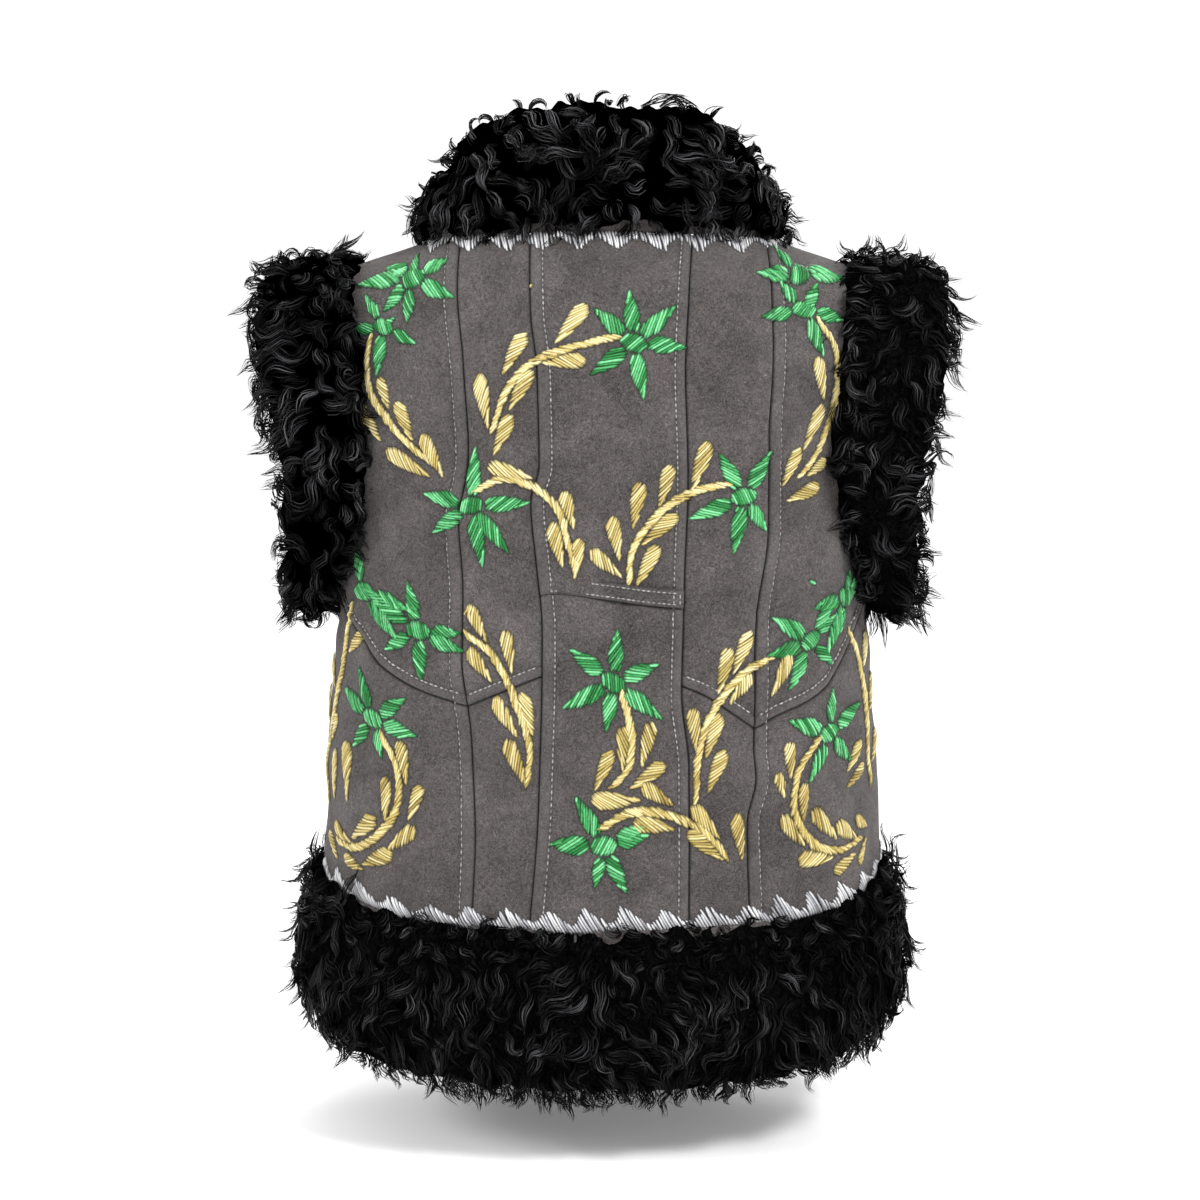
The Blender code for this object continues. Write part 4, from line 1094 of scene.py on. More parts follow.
half = float(back.half(V_HEM))
whole = half + float(front.half(V_HEM)) - 2.5
x, tall, off = scallops(-whole, whole, 5)
scalloped("scallop_hem", round_cloth, x, tall, off, 139.5, 1, -0.55, 0.15)
corner = NECK_HALF / SHOULDER_HALF
neck_half = float(back.x_of(np.array(corner), np.array(V_TOP)))
x, tall, off = scallops(-neck_half, neck_half, 8)
scalloped("scallop_neck_back", lambda x, v, h: on_cloth(back, x, v, h), x, tall * 0.95, off, V_TOP - 1.5, -1, 0.16, 0.3)
neck_front = float(front.x_of(np.array(corner), np.array(V_TOP)))
for side, seed in ((-1, 12), (1, 15)):
    x, tall, off = scallops(3.0, neck_front, seed)
    scalloped("scallop_neck_front_" + ("left" if side < 0 else "right"), lambda x, v, h: on_cloth(front, x, v, h), side * x, tall * 0.95, side * off, V_TOP - 1.5, -1, 0.16, 0.3)


# ---- fur -------------------------------------------------------------------------------
COLLAR = (
    # share of the way from centre back to centre front: its upper edge, x, y and z
    (0.00,  0.0, -52.0, 107.0),
    (0.25, 52.0, -43.0, 103.0),
    (0.45, 83.0, -14.0,  85.0),
    (0.60, 88.0,  20.0,  57.0),
    (0.80, 68.0,  83.0,  -9.0),
    (1.00,  4.0, 112.0, -40.0),
)
# The dense part of the fur, below the loose curls: outwards from the middle, share of the way up
COLLAR_CORE = ((-3.0, 0.05), (6.0, 0.05), (13.0, 0.13), (16.0, 0.36), (14.0, 0.64), (7.0, 0.84), (0.0, 0.89), (-5.0, 0.82), (-6.0, 0.55), (-5.0, 0.2))
ARMHOLE_REACH = (
    # height on the armhole: reach outwards, fur beyond the edge
    (335.0, 38.0, 28.0),
    (350.0, 47.0, 30.0),
    (378.0, 58.0, 31.0),
    (442.0, 69.0, 31.0),
    (502.0, 79.0, 30.0),
    (548.0, 79.0, 24.0),
    (596.0, 66.0, 16.0),
)
ARMHOLE_DROOP = 8.0
ARMHOLE_CORE = ((-0.05, -0.05), (0.02, 0.28), (0.10, 0.52), (0.4, 0.66), (0.70, 0.6), (0.84, 0.38), (0.86, 0.15), (0.76, 0.02))
# Height along the skin, and how far the dense fur stands off it
HEM_CORE = ((138.3, 0.6), (131.0, 4.0), (112.0, 11.0), (86.0, 18.0), (58.0, 21.0), (36.0, 19.0), (20.0, 14.5), (11.0, 9.0), (6.0, 3.0), (6.0, -3.5), (14.0, -6.5), (62.0, -6.5), (132.0, -4.6))


# Bald places at the top of the band, on the front and on the back: x, half width
BALD = (((-150.0, 9.0), (-60.0, 7.0), (88.0, 9.0), (171.0, 6.0)), ((-24.0, 10.0), (4.0, 9.0), (40.0, 8.0), (74.0, 9.0)))


def sine_field(p, waves):
    """A slowly changing value over space, from -1 to 1 or so."""
    total = np.zeros(p.shape[:-1])
    for wave, start in waves:
        total += np.sin(p @ np.array(wave) + start)
    return total / len(waves) * 1.6


def waves(seed, size, count=5):
    own = np.random.default_rng(seed)
    return [(unit(own.normal(size=3)) * 2 * np.pi / (size * own.uniform(0.7, 1.5)), own.uniform(0, 6.28)) for _ in range(count)]


def closed_loop(section, count):
    """count points round a closed section, smooth through its corners."""
    p = np.array(section, float)
    n = len(p)
    t = np.linspace(0, n, count, endpoint=False)
    k = t.astype(int)
    f = (t - k)[:, None]
    a, b, c, d = p[(k - 1) % n], p[k], p[(k + 1) % n], p[(k + 2) % n]
    return 0.5 * (2 * b + (c - a) * f + (2*a - 5*b + 4*c - d) * f**2 + (3*b - a - 3*c + d) * f**3)


def grid_normals(grid, round_rows):
    """Outward normals of a tube of points: rows along it, columns round it."""
    if round_rows:
        along = np.roll(grid, -1, 0) - np.roll(grid, 1, 0)
    else:
        along = np.gradient(grid, axis=0)
    about = np.roll(grid, -1, 1) - np.roll(grid, 1, 1)
    n = unit(np.cross(along, about))
    out = grid - grid.mean(axis=1, keepdims=True)
    if (n * out).sum() < 0:
        n = -n
    return n


def core(name, grid, normals, closed, seed, lump):
    """The dense fur under the curls, as points and faces. closed joins its two ends."""
    push = lump * sine_field(grid, waves(seed, 22, 6)) + 0.6 * lump * sine_field(grid, waves(seed + 1, 9, 7))
    grid = grid + normals * push[..., None]
    rows, cols = grid.shape[:2]
    index = np.arange(rows * cols).reshape(rows, cols)
    nxt = np.roll(index, -1, 1)
    if closed:
        up, up_nxt = np.roll(index, -1, 0), np.roll(nxt, -1, 0)
        quads = np.stack([index, nxt, up_nxt, up], -1).reshape(-1, 4)
        return grid.reshape(-1, 3), [quads]
    quads = np.stack([index[:-1], nxt[:-1], nxt[1:], index[1:]], -1).reshape(-1, 4)
    ends = np.stack([index[0][::-1], index[-1]])
    return grid.reshape(-1, 3), [quads, ends]


def scatter(grid, normals, closed, spacing, chance, seed):
    """Root points over a tube, about spacing apart. chance is the share kept at each grid
    point."""
    own = np.random.default_rng(seed)
    rows, cols = grid.shape[:2]
    up = np.roll(grid, -1, 0) if closed else np.concatenate([grid[1:], grid[-1:]])
    about = np.roll(grid, -1, 1)
    area = np.linalg.norm(np.cross(up - grid, about - grid), axis=-1)
    if not closed:
        area[-1] = 0
    weight = (area * chance).ravel()
    count = int(3.2 * area.sum() / (spacing * spacing))
    pick = own.choice(rows * cols, count, p=weight / weight.sum())
    i, j = pick // cols, pick % cols
    f, g = own.uniform(0, 1, (2, count, 1))
    i1, j1 = (i + 1) % rows if closed else np.minimum(i + 1, rows - 1), (j + 1) % cols
    def blend(q):
        return (q[i, j] * (1 - f) + q[i1, j] * f) * (1 - g) + (q[i, j1] * (1 - f) + q[i1, j1] * f) * g
    p, n = blend(grid), unit(blend(normals))
    # keep those that are not too near one already kept
    cell = {}
    kept = []
    scale = 1.0 / spacing
    for k in range(count):
        key = tuple((p[k] * scale).astype(int))
        near_by = False
        for dx in (-1, 0, 1):
            for dy in (-1, 0, 1):
                for dz in (-1, 0, 1):
                    for m in cell.get((key[0] + dx, key[1] + dy, key[2] + dz), ()):
                        if np.dot(p[k] - p[m], p[k] - p[m]) < (spacing * 0.72) ** 2:
                            near_by = True
                            break
                    if near_by:
                        break
                if near_by:
                    break
            if near_by:
                break
        if not near_by:
            cell.setdefault(key, []).append(k)
            kept.append(k)
    kept = np.array(kept)
    return p[kept], n[kept], i[kept], j[kept]


def follow(grid, normals, comb, roots, out, column, long, high, free, hang, own, steps=12):
    """The middle of each lock: it rises from the skin, flows along the combing a little over
    the dense fur in slow waves, and hooks round at its end. Free locks, at an edge, go any
    way and don't keep to the dense fur; hanging ones, at the lower edge, don't turn under
    it. Points and outward directions."""
    flat, flat_normals = grid.reshape(-1, 3), normals.reshape(-1, 3)
    tree = KDTree(len(flat))
    for k, point in enumerate(flat):
        tree.insert(point, k)
    tree.balance()
    n = len(roots)
    turn = own.normal(0, 0.22, n) + own.uniform(-2.4, 2.4, n) * free
    swing = np.radians(own.uniform(32, 82, n)) * own.choice([-1, 1], n)
    often, start = own.uniform(0.9, 1.8, n), own.uniform(0, 2 * np.pi, n)
    hook = np.radians(np.where(own.uniform(size=n) < 0.5, own.uniform(100, 250, n), own.uniform(20, 80, n))) * own.choice([-1, 1], n)
    loose = own.uniform(size=n) < 0.30 + 0.3 * np.clip(out[:, 2], 0, 1)
    lift = np.radians(np.where(loose, own.uniform(65, 170, n), own.normal(0, 25, n)))
    size = (long / steps)[:, None]
    own_way = np.maximum(free, hang)
    p, up = roots.copy(), out.copy()
    way, _ = comb(p, up, column, turn)
    d = unit(0.8 * up + 0.6 * way)
    path, ups = [p], [up]
    for k in range(steps):
        t = (k + 0.5) / steps
        way, sure = comb(p, up, column, turn)
        side = np.cross(up, way)
        angle = (swing * np.sin(2 * np.pi * often * t + start) + hook * step(0.55, 1.0, t) * t)[:, None]
        aim = way * np.cos(angle) + side * np.sin(angle)
        rise = (math.radians(55) * (1 - step(0.0, 0.3, t)) + lift * np.where(loose, step(0.36, 0.95, t), step(0.55, 1.0, t)))[:, None]
        aim = aim * np.cos(rise) + up * np.sin(rise)
        d = unit(d * (1 - 0.5 * sure) + aim * 0.5 * sure + np.array([0, 0, -0.06]) * t)
        p = p + d * size
        hit = np.array([tree.find(q)[1] for q in p])
        up = unit(flat_normals[hit] * (1 - own_way)[:, None] + out * own_way[:, None])
        over = ((p - flat[hit]) * up).sum(-1)
        wanted = high * step(0.0, 0.35, t)
        push = np.where(over < wanted * 0.6, 0.6 * (wanted * 0.6 - over), 0.0)
        if t < 0.65:
            push = push - np.minimum(np.maximum(over - wanted, 0) * 0.4, 0.35 * size[:, 0]) * (1 - own_way) * np.where(loose & (t > 0.4), 0.0, 1.0)
        p = p + up * push[:, None]
        path.append(p)
        ups.append(up)
    return np.stack(path, 1), np.stack(ups, 1)


def tufts(roots, out, long, own, steps=12):
    """The middle of locks that stand off the fur and curl over, each its own way."""
    n = len(roots)
    d = unit(out + 0.55 * unit(own.normal(size=(n, 3))))
    axis = unit(np.cross(d, own.normal(size=(n, 3))))
    bend = np.radians(own.uniform(70, 250, n)) / steps
    p = roots - d * 1.0
    path, ups = [p], [np.cross(axis, d)]
    for k in range(steps):
        a = (bend * (0.35 + 1.3 * (k + 0.5) / steps))[:, None]
        d = unit(d * np.cos(a) + np.cross(axis, d) * np.sin(a))
        p = p + d * (long / steps)[:, None]
        path.append(p)
        ups.append(np.cross(axis, d))
    return np.stack(path, 1), np.stack(ups, 1)


def curls(path, ups, bright, seed, strands=14, segments=7, wide=0.86, broad=(3.1, 6.0), slim=None):
    """Locks round their middles: points, faces, normals, tone and across of tapering
    ribbons, a few of which carry a painted highlight in their tone."""
    own = np.random.default_rng(seed)
    n, steps = path.shape[0], path.shape[1] - 1
    tangent = unit(np.gradient(path, axis=1))
    level = np.zeros_like(path)
    level[:, 0] = unit(ups[:, 0] - tangent[:, 0] * (ups[:, 0] * tangent[:, 0]).sum(-1, keepdims=True))
    for k in range(1, steps + 1):
        carried = level[:, k - 1] - tangent[:, k] * (level[:, k - 1] * tangent[:, k]).sum(-1, keepdims=True)
        square = ups[:, k] - tangent[:, k] * (ups[:, k] * tangent[:, k]).sum(-1, keepdims=True)
        level[:, k] = unit(0.65 * unit(carried) + 0.35 * square)
    reach = own.uniform(0.72, 1.0, (n, strands))
    s = np.linspace(0, 1, segments + 1) ** 0.85
    t = s[None, None] * reach[..., None]
    low = np.minimum((t * steps).astype(int), steps - 1)
    part = (t * steps - low)[..., None]
    lock = np.arange(n)[:, None, None]
    def along(q):
        return q[lock, low] * (1 - part) + q[lock, low + 1] * part
    middle, axis, outer = along(path), unit(along(tangent)), along(level)
    outer = unit(outer - axis * (outer * axis).sum(-1, keepdims=True))
    side = np.cross(axis, outer)
    slim = np.ones(n) if slim is None else slim
    half = own.uniform(*broad, (n, 1, 1)) * slim[:, None, None] * (0.45 + 0.55 * step(0.0, 0.35, t)) * (1 - 0.84 * step(0.42, 1.0, t))
    place = np.linspace(-1, 1, strands)[None] + own.normal(0, 0.22, (n, strands))
    stray = np.where(own.uniform(size=(n, strands)) < 0.12, own.normal(0, 2.0, (n, strands)), 0.0)[..., None] * t * slim[:, None, None]
    wave = 0.55 * slim[:, None, None] * np.sin(2 * np.pi * own.uniform(0.7, 1.5, (n, strands, 1)) * t + own.uniform(0, 6.28, (n, strands, 1))) * step(0, 0.3, t)
    a = place[..., None] * half + stray + wave
    b = (own.uniform(-0.5, 1.0, (n, strands, 1)) - 0.7 * place[..., None] ** 2) * 0.55 * half
    pos = middle + side * a[..., None] + outer * b[..., None]
    tangent = unit(np.gradient(pos, axis=2))
    round_way = np.radians(own.normal(0, 14, (n, strands)) + 58 * np.clip(place, -1.2, 1.2))[..., None, None]
    facing = outer * np.cos(round_way) + side * np.sin(round_way)
    facing = unit(facing - tangent * (facing * tangent).sum(-1, keepdims=True))
    edge = np.cross(tangent, facing)
    twist = np.radians(np.where(own.uniform(size=(n, strands)) < 0.3, own.uniform(-85, 85, (n, strands)), own.normal(0, 18, (n, strands))))[..., None, None]
    across = edge * np.cos(twist) + facing * np.sin(twist)
    width = wide * own.uniform(0.7, 1.2, (n, strands, 1)) * (0.6 + 0.4 * step(0, 0.2, s)) * (1 - 0.62 * step(0.45, 1.0, s)) / 2
    left, right = pos - across * width[..., None], pos + across * width[..., None]
    points = np.concatenate([np.stack([left, right], 3)[:, :, :-1].reshape(n * strands, -1, 3), pos[:, :, -1].reshape(-1, 1, 3)], 1)
    tilt = math.radians(38)
    shade = np.stack([facing * math.cos(tilt) - edge * math.sin(tilt), facing * math.cos(tilt) + edge * math.sin(tilt)], 3)
    shade = np.concatenate([shade[:, :, :-1].reshape(n * strands, -1, 3), facing[:, :, -1].reshape(-1, 1, 3)], 1)
    each = 2 * segments + 1
    index = np.arange(n * strands * each).reshape(n * strands, each)
    pairs = index[:, :-1].reshape(-1, segments, 2)
    quads = np.stack([pairs[:, :-1, 0], pairs[:, :-1, 1], pairs[:, 1:, 1], pairs[:, 1:, 0]], -1).reshape(-1, 4)
    tips = np.stack([pairs[:, -1, 0], pairs[:, -1, 1], index[:, -1]], -1)
    # tone is painted highlight: a band at each lock's crest, with the lock's outer strands darker as painted shade.
    crest = own.uniform(0.3, 0.75, (n, 1, 1)) + own.normal(0, 0.08, (n, strands, 1))
    tone = bright[:, None, None] * own.uniform(0, 1, (n, strands, 1)) ** 1.25 * (1 - 0.35 * np.abs(place)[..., None])
    tone = tone * (0.14 + np.exp(-((s - crest) / 0.29) ** 2))
    tone = np.concatenate([np.repeat(tone[:, :, :-1], 2, 2), tone[:, :, -1:]], 2)
    over = np.concatenate([np.tile([0.0, 1.0], segments), [0.5]])
    return points.reshape(-1, 3), [quads, tips], shade.reshape(-1, 3), tone.ravel(), np.tile(over, n * strands)


def fur_piece(name, node, grid, closed, chance, comb, seed, spacing=11.0, long=(28.0, 48.0), lump=2.6, high=(1.2, 10.0), scale=None, loose_edge=None, hanging=None, stand=None, strands=14, hair_highlight_gain=1.0):
    normals = grid_normals(grid, closed)
    core_points, core_faces = core(name, grid, normals, closed, seed, lump)
    roots, out, i, j = scatter(grid, normals, closed, spacing, chance, seed + 3)
    own = np.random.default_rng(seed + 9)
    lengths = own.uniform(*long, len(roots))
    if scale is not None:
        lengths = lengths * scale[i, j]
    mound = np.clip(0.5 + 0.5 * sine_field(roots, waves(seed + 20, 40, 6)) + own.normal(0, 0.2, len(roots)), 0, 1)
    free = np.zeros(len(roots)) if loose_edge is None else loose_edge[i, j]
    hang = np.zeros(len(roots)) if hanging is None else hanging[i, j]
    if stand is not None:
        out = unit(out * (1 - hang)[:, None] + stand[i, j] * hang[:, None])
    path, ups = follow(grid, normals, comb, roots, out, j, lengths, high[0] + (high[1] - high[0]) * mound, free, hang, own)
    # at the outline, seen from behind or in front, more of the locks stand up
    stands = (own.uniform(size=len(roots)) < 0.05 + 0.36 * (1 - np.abs(out[:, 1])) ** 1.5 + 0.40 * step(0.35, 0.8, out[:, 2])) & (free < 0.4) & (hang < 0.4)
    path[stands], ups[stands] = tufts(roots[stands], out[stands], np.clip(lengths[stands] * own.uniform(0.34, 0.60, stands.sum()), 8, 20), own)
    slim = np.where(stands, own.uniform(0.42, 0.75, len(roots)), 1.0)
    # Painted light: locks on the mounds are lighter and those in the hollows darker, as painted shade.
    bright = np.clip((0.34 + 0.90 * mound ** 1.25) * np.exp(own.normal(0, 0.4, len(roots))), 0.05, 1.5)
    points, faces, shade, tone, across = curls(path, ups, bright * hair_highlight_gain, seed + 5, strands, slim=slim)
    n = len(core_points)
    core_normals = normals.reshape(-1, 3)
    hairs = sum(len(f) for f in faces)
    obj = mesh_object(
        name, np.concatenate([core_points, points]), [f + n for f in faces] + core_faces, [strands_black, pile],
        [("tone", np.concatenate([np.zeros(n), tone])), ("across", np.concatenate([np.zeros(n), across]))],
        normals=np.concatenate([core_normals, shade]),
        slots=np.concatenate([np.zeros(hairs), np.ones(sum(len(f) for f in core_faces))]),
    )
    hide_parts(node)
    print(name, len(roots), "locks", triangles(obj), "triangles")
    return obj


SWIRL_A, SWIRL_B, SWIRL_C = waves(71, 95, 4), waves(72, 62, 5), waves(73, 36, 6)


def swirled(down, wild):
    """Combing mostly one way, turned about by swirls of three sizes and a little at random;
    and how much the skin there lets it have a way at all."""
    def comb(p, n, column, turn):
        way = np.array(down, float)
        way = way[column] if way.ndim == 2 else np.broadcast_to(way, p.shape)
        way = way - n * (way * n).sum(-1, keepdims=True)
        sure = step(0.1, 0.5, np.linalg.norm(way, axis=-1, keepdims=True))
        way = unit(way + 1e-4)
        side = np.cross(n, way)
        angle = wild * (0.9 * sine_field(p, SWIRL_A) + 0.9 * sine_field(p, SWIRL_B) + 0.55 * sine_field(p, SWIRL_C)) + turn
        return way * np.cos(angle)[:, None] + side * np.sin(angle)[:, None], sure
    return comb


def hem_grid(form, s_low, s_high, stations):
    loop = closed_loop(HEM_CORE, 44)
    s = np.linspace(s_low, s_high, stations)[:, None]
    v, off = loop[None, :, 0], loop[None, :, 1]
    s, v, off = np.broadcast_arrays(s, v, off)
    # bald places just under the seam, where the skin shows
    x = form.x_of(s, np.full_like(s, V_HEM))
    bald = np.max([np.exp(-((x - at) / wide) ** 4) for at, wide in BALD[form is back]], axis=0)
    at_side = step(0.44, 0.80, np.abs(s))
    uneven = 0.6 * np.sin(x / 4.3 + 1.0) + 0.6 * np.sin(x / 7.9 + 2.2) + 0.3 * np.sin(x / 2.6)
    v = v + (7.5 * at_side + (0.9 + 3.0 * at_side) * uneven) * step(112.0, 134.0, v) * (off > 0)
    off = off + 2.2 * at_side * step(112.0, 134.0, v) * (off > 0.5)
    v = v - 7.0 * bald * step(96.0, 136.0, v) * (off > 0)
    at = np.maximum(v, 0.0)
    p = form.at(s, at) + form.normal(s, at) * off[..., None]
    p = p + np.array([0, 0, -1.0]) * np.maximum(-v, 0)[..., None]
    # the pieces' ends meet
    p[0] += unit(p[0] - p[1]) * 1.9
    p[-1] += unit(p[-1] - p[-2]) * 1.9
    return p, v


def hem_fur(name, node, form, s_low, s_high, stations, seed, spacing=11.0, strands=14):
    grid, v = hem_grid(form, s_low, s_high, stations)
    normals = grid_normals(grid, False)
    s = np.linspace(s_low, s_high, stations)[:, None]
    stand = form.normal(s + 0 * v, np.maximum(v, 0))
    outer = (normals * stand).sum(-1)
    chance = np.where(outer > -0.2, 1.0, 0.10)
    chance = np.where((outer < -0.2) & (v < 30), 0.5, chance)
    low = step(46.0, 14.0, v) * step(-0.35, 0.1, outer)
    scale = 0.62 + 0.38 * step(8.0, 50.0, v)
    scale = np.where(outer < -0.35, 0.45, scale)
    # at the sides the top curls stand up over the stitching; between them they are short
    at_side = step(0.48, 0.86, np.abs(s)) + 0 * v
    top = step(112.0, 132.0, v) * (outer > 0)
    chance = np.where(top > 0.3, 1.5 + 1.1 * at_side, chance)
    scale = scale * (1 - top * (0.42 - 0.40 * at_side))
    return fur_piece(name, node, grid, False, chance, swirled((0, 0, -1), 0.8), seed, spacing, strands=strands, hair_highlight_gain=0.84, scale=scale, loose_edge=top * (0.75 + 0.25 * at_side), hanging=0.7 * low, stand=stand)


hem_fur("fur_hem_back", "hem_fur_back", back, -0.999, 0.999, 190, 100)
gap = 1.5 / float(front.half(70.0))
hem_fur("fur_hem_front_left", "hem_fur_front_left", front, -0.999, -gap, 95, 120, 12.0, 12)
hem_fur("fur_hem_front_right", "hem_fur_front_right", front, gap, 0.999, 95, 140, 12.0, 12)


def neckline(t):
    way, bend = np.abs(t), 0.47
    side = np.where(t < 0, -1.0, 1.0)
    q = np.sin(np.minimum(way / bend, 1.0) * np.pi / 2)
    low = back.top(side * q * corner)
    angle = np.clip((way - bend) / (1 - bend), 0, 1) * np.pi / 2
    high = front.top(side * np.maximum(np.cos(angle), 1.5 / NECK_HALF) * corner)
    return np.where((way <= bend)[..., None], low, high)


def upper_edge(t):
    side = np.where(t < 0, -1.0, 1.0)
    way = np.abs(t)
    return np.stack([side * smooth(COLLAR, way, 1), smooth(COLLAR, way, 2), smooth(COLLAR, way, 3)], -1)


def outwards(curve, t):
    along = curve(np.clip(t + 0.012, -1, 1)) - curve(np.clip(t - 0.012, -1, 1))
    out = np.stack([along[..., 1], -along[..., 0], 0 * t], -1)
    out = unit(out)
    return np.where((np.abs(t) > 0.985)[..., None], np.array([0.0, 1.0, 0.0]), out)


def collar_grid(section_loop, stations, lift=1.3):
    t = np.linspace(-1, 1, stations)
    low, high = neckline(t), upper_edge(t)
    lo, ho = outwards(neckline, t), outwards(upper_edge, t)
    o, u = section_loop[None, :, 0, None], section_loop[None, :, 1, None]
    low, high, lo, ho = (q[:, None] for q in (low, high, lo, ho))
    uneven = (0.6 * np.sin(t * 61 + 0.7) + 0.6 * np.sin(t * 29 + 2.0))[:, None, None]
    u = u - step(0.30, 0.10, u) * (o > 0) * (0.014 + 0.016 * uneven)
    return low + np.array([0, 0, lift]) + (high - low) * u + (lo * (1 - u) + ho * u) * o


grid = collar_grid(closed_loop(COLLAR_CORE, 40), 180)
middle = grid.mean(axis=1, keepdims=True)
chance = np.ones(grid.shape[:2])
loop = closed_loop(COLLAR_CORE, 40)
low_edge = (step(0.30, 0.12, loop[:, 1]) * (loop[:, 0] > 0))[None] * np.ones(grid.shape[:2])
chance[:, loop[:, 0] < -1.0] = 0.6
chance = chance * (1 + 0.5 * low_edge)
fur_piece("fur_collar", "collar_fur", grid, False, chance, swirled((0, 0, -1), 1.15), 200, lump=3.6, hair_highlight_gain=1.25, scale=1 - 0.35 * low_edge, loose_edge=0.5 * low_edge)


def band(name, grid, normals, thick, made, dark=0.0):
    inner = underlap((grid - normals * thick)[::2, ::2])
    obj = shell(name, grid, inner, made, np.full(grid.shape[:2], dark))
    return obj


# the collar's own skin, which shows between the curls and the neck seam
t = np.linspace(-1, 1, 181)
u = np.linspace(0.004, 0.16, 9)
low, high = neckline(t), upper_edge(t)
lo, ho = outwards(neckline, t), outwards(upper_edge, t)
rise = (high - low)[:, None] * u[None, :, None]
skin = low[:, None] + np.array([0, 0, -0.7]) + rise + (lo[:, None] * (1 - u[None, :, None]) + ho[:, None] * u[None, :, None]) * (0.4 + 4.0 * np.sqrt(u[None, :, None] / 0.16))
piece = band("collar_skin", skin, lo[:, None] + 0 * skin, 2.2, [suede, pile])
wide = float(np.linalg.norm(np.diff(skin[:, 4], axis=0), axis=-1).sum()) * MM
long = float(np.linalg.norm(np.diff(skin, axis=1), axis=-1).sum(1).max()) * MM
quad = np.linalg.norm(np.cross(skin[1:, :-1] - skin[:-1, :-1], skin[:-1, 1:] - skin[:-1, :-1]), axis=-1).sum() * MM * MM
CUTS["collar_skin"] = (round(wide / MM), round(long / MM), round(quad * 1e4))

# the skin of the hem's fur band
for name, form, s_low, s_high, on in (
    ("hem_skin_back", back, -0.999, 0.999, ["suede_back_centre_lower", "suede_side_left", "suede_side_right"]),
    ("hem_skin_front_left", front, -0.999, -gap, ["suede_front_left"]),
    ("hem_skin_front_right", front, gap, 0.999, ["suede_front_right"]),
):
    s, v = np.meshgrid(np.linspace(s_low, s_high, 91), np.linspace(9.0, V_HEM - 0.3, 15))
    normals = form.normal(s, v)
    skin = form.at(s, v) + normals * 0.2
    piece = band(name, skin, normals, 2.4, [suede, pile])
    wide = float(np.linalg.norm(np.diff(skin, axis=1), axis=-1).sum(1).max()) * MM
    long = max(float(np.linalg.norm(np.diff(skin, axis=0), axis=-1).sum(0).max()), 131.0) * MM
    quad = np.linalg.norm(np.cross(skin[1:, :-1] - skin[:-1, :-1], skin[:-1, 1:] - skin[:-1, :-1]), axis=-1).sum() * MM * MM
    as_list(on)
    CUTS[name] = (round(wide / MM), round(long / MM), round(quad * 1e4))


def armhole_grid(side, section_loop, stations):
    """Rows round the armhole's edge, columns round the trim's section."""
    way = np.linspace(0, 2 * np.pi, stations, endpoint=False)
    v = V_UNDERARM + (V_TOP - V_UNDERARM) * (1 - np.cos(np.where(way <= np.pi, way, 2 * np.pi - way))) / 2
    edge = np.full_like(v, side)
    p = np.where((way <= np.pi)[:, None], back.at(edge, v), front.at(edge, v))
    centre = (p.max(axis=0) + p.min(axis=0)) / 2
    half = (p.max(axis=0) - p.min(axis=0)) / 2
    droop = math.radians(ARMHOLE_DROOP)
    lateral = np.array([side * math.cos(droop), 0.0, -math.sin(droop)])
    away = unit(np.stack([0 * v, (p[:, 1] - centre[1]) / half[1] ** 2, (p[:, 2] - centre[2]) / half[2] ** 2], -1))
    reach, beyond = smooth(ARMHOLE_REACH, v)[:, None, None], smooth(ARMHOLE_REACH, v, 2)[:, None, None]
    share, out = section_loop[None, :, 0, None], section_loop[None, :, 1, None]
    return (p[:, None] + np.array([side * 0.6, 0.0, 0.0])
            + lateral * (reach * share + 0.25 * np.maximum(out, 0) * beyond * (1 - share))
            + away[:, None] * out * beyond), away


def armhole_fur(name, node, side, seed):
    loop = closed_loop(ARMHOLE_CORE, 36)
    grid, away = armhole_grid(side, loop, 150)
    chance = np.ones(grid.shape[:2])
    chance[:, (loop[:, 1] < 0.05)] = 0.25
    chance[:, (loop[:, 0] < 0.03) & (loop[:, 1] < 0.2)] = 0.1
    # near the panel the curls lie back over its edge
    turned = (-1.0 + 2.0 * step(0.06, 0.42, loop[:, 0]))[:, None]
    ways = turned * np.array([side * 0.9, 0.0, 0.0]) + np.array([0.0, 0.0, -0.7])
    edge = (step(0.34, 0.10, loop[:, 0]) * (loop[:, 1] > 0.1))[None] * np.ones(grid.shape[:2])
    chance = chance * (1 + 0.5 * edge)
    return fur_piece(name, node, grid, True, chance, swirled(ways, 1.0), seed, lump=3.4, scale=1 - 0.25 * edge, loose_edge=0.7 * edge)


armhole_fur("fur_armhole_left", "armhole_fur_left", -1.0, 300)
armhole_fur("fur_armhole_right", "armhole_fur_right", 1.0, 330)

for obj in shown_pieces():
    if obj.name not in TRIS and obj.type == "MESH":
        triangles(obj)
print("triangles", sum(TRIS.values()), "most in a piece", max(TRIS.values()), TRIS)
print("cuts", json.dumps(CUTS))


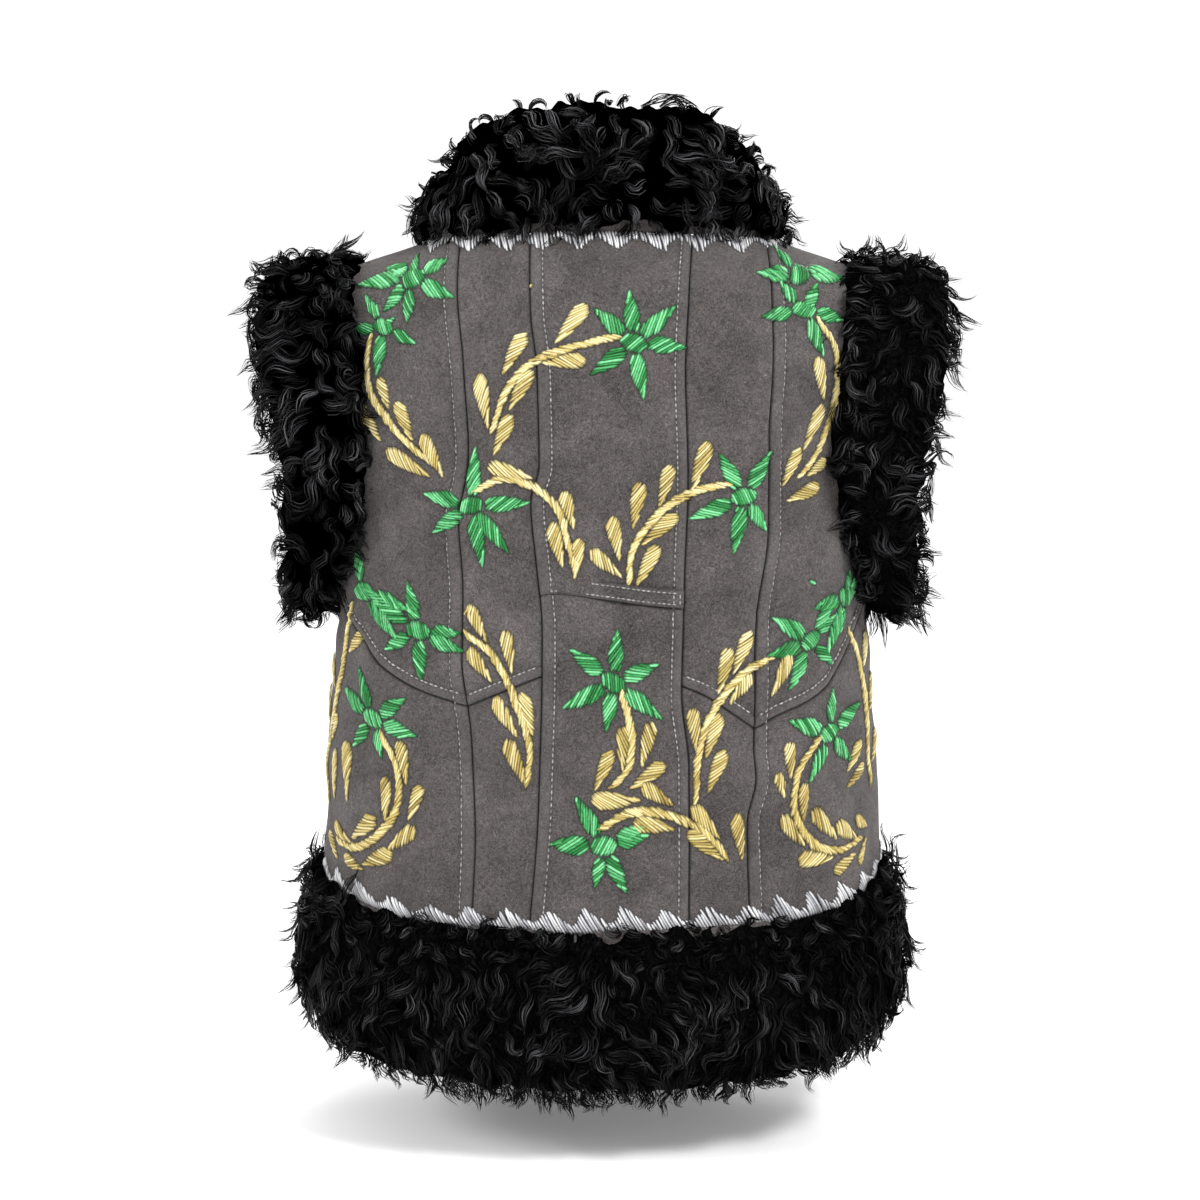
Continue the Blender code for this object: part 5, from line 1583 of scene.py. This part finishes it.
# ---- floor, light and camera -------------------------------------------------------------
floor_mesh = bpy.data.meshes.new("floor")
floor_mesh.from_pydata([(-30, -30, 0), (30, -30, 0), (30, 30, 0), (-30, 30, 0)], [], [(0, 1, 2, 3)])
floor = bpy.data.objects.new("floor", floor_mesh)
floor.location = (0, 0, -0.66)
bpy.context.scene.collection.objects.link(floor)
n = Nodes("floor_paper")
place = n.add("ShaderNodeTexCoord").outputs["Object"]
n.set(Base_Color=n.ramp(n.noise(place, 30.0, 3.0), ((0.3, (0.955, 0.955, 0.955)), (0.7, (0.965, 0.965, 0.965)))), Roughness=0.9, Specular_IOR_Level=0.1)
floor_mesh.materials.append(n.material)
floor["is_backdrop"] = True

world = bpy.data.worlds.new("studio")
bpy.context.scene.world = world
world.use_nodes = True
world.node_tree.nodes["Background"].inputs["Color"].default_value = (1.0, 1.0, 1.0, 1.0)
world.node_tree.nodes["Background"].inputs["Strength"].default_value = 1.06


def area_light(name, at, aim, size, energy):
    data = bpy.data.lights.new(name, "AREA")
    data.shape = "DISK"
    data.size = size
    data.energy = energy
    light = bpy.data.objects.new(name, data)
    light.location = at
    light.rotation_mode = "QUATERNION"
    light.rotation_quaternion = (Vector(aim) - Vector(at)).to_track_quat("-Z", "Y")
    bpy.context.scene.collection.objects.link(light)
    return light


area_light("key", (1.45, -1.55, 1.45), (0, 0, -0.25), 0.6, 60.0)
area_light("fill", (-2.1, -1.1, 0.9), (0, 0, -0.25), 0.8, 34.0)
area_light("rear", (0.9, 1.9, 1.1), (0, 0, -0.25), 0.7, 20.0)
area_light("top", (-0.4, 0.5, 2.6), (0, 0, -0.25), 1.4, 18.0)

AIM, FAR, RISE = Vector((-0.0015, 0.0, -0.262)), 1.6, math.radians(8)
camera_data = bpy.data.cameras.new("camera")
camera_data.sensor_width = 36.0
camera_data.lens = 18.0 / (0.45 / FAR)
camera = bpy.data.objects.new("camera", camera_data)
camera.location = AIM + Vector((0, -math.cos(RISE), math.sin(RISE))) * FAR
camera.rotation_mode = "QUATERNION"
camera.rotation_quaternion = (AIM - camera.location).to_track_quat("-Z", "Y")
bpy.context.scene.collection.objects.link(camera)
bpy.context.scene.camera = camera
bpy.context.scene.view_settings.view_transform = "Standard"

bpy.context.view_layer.update()
low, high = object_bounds()
{"cad": [list(cad_low), list(cad_high)], "visual": [list(low), list(high)]}
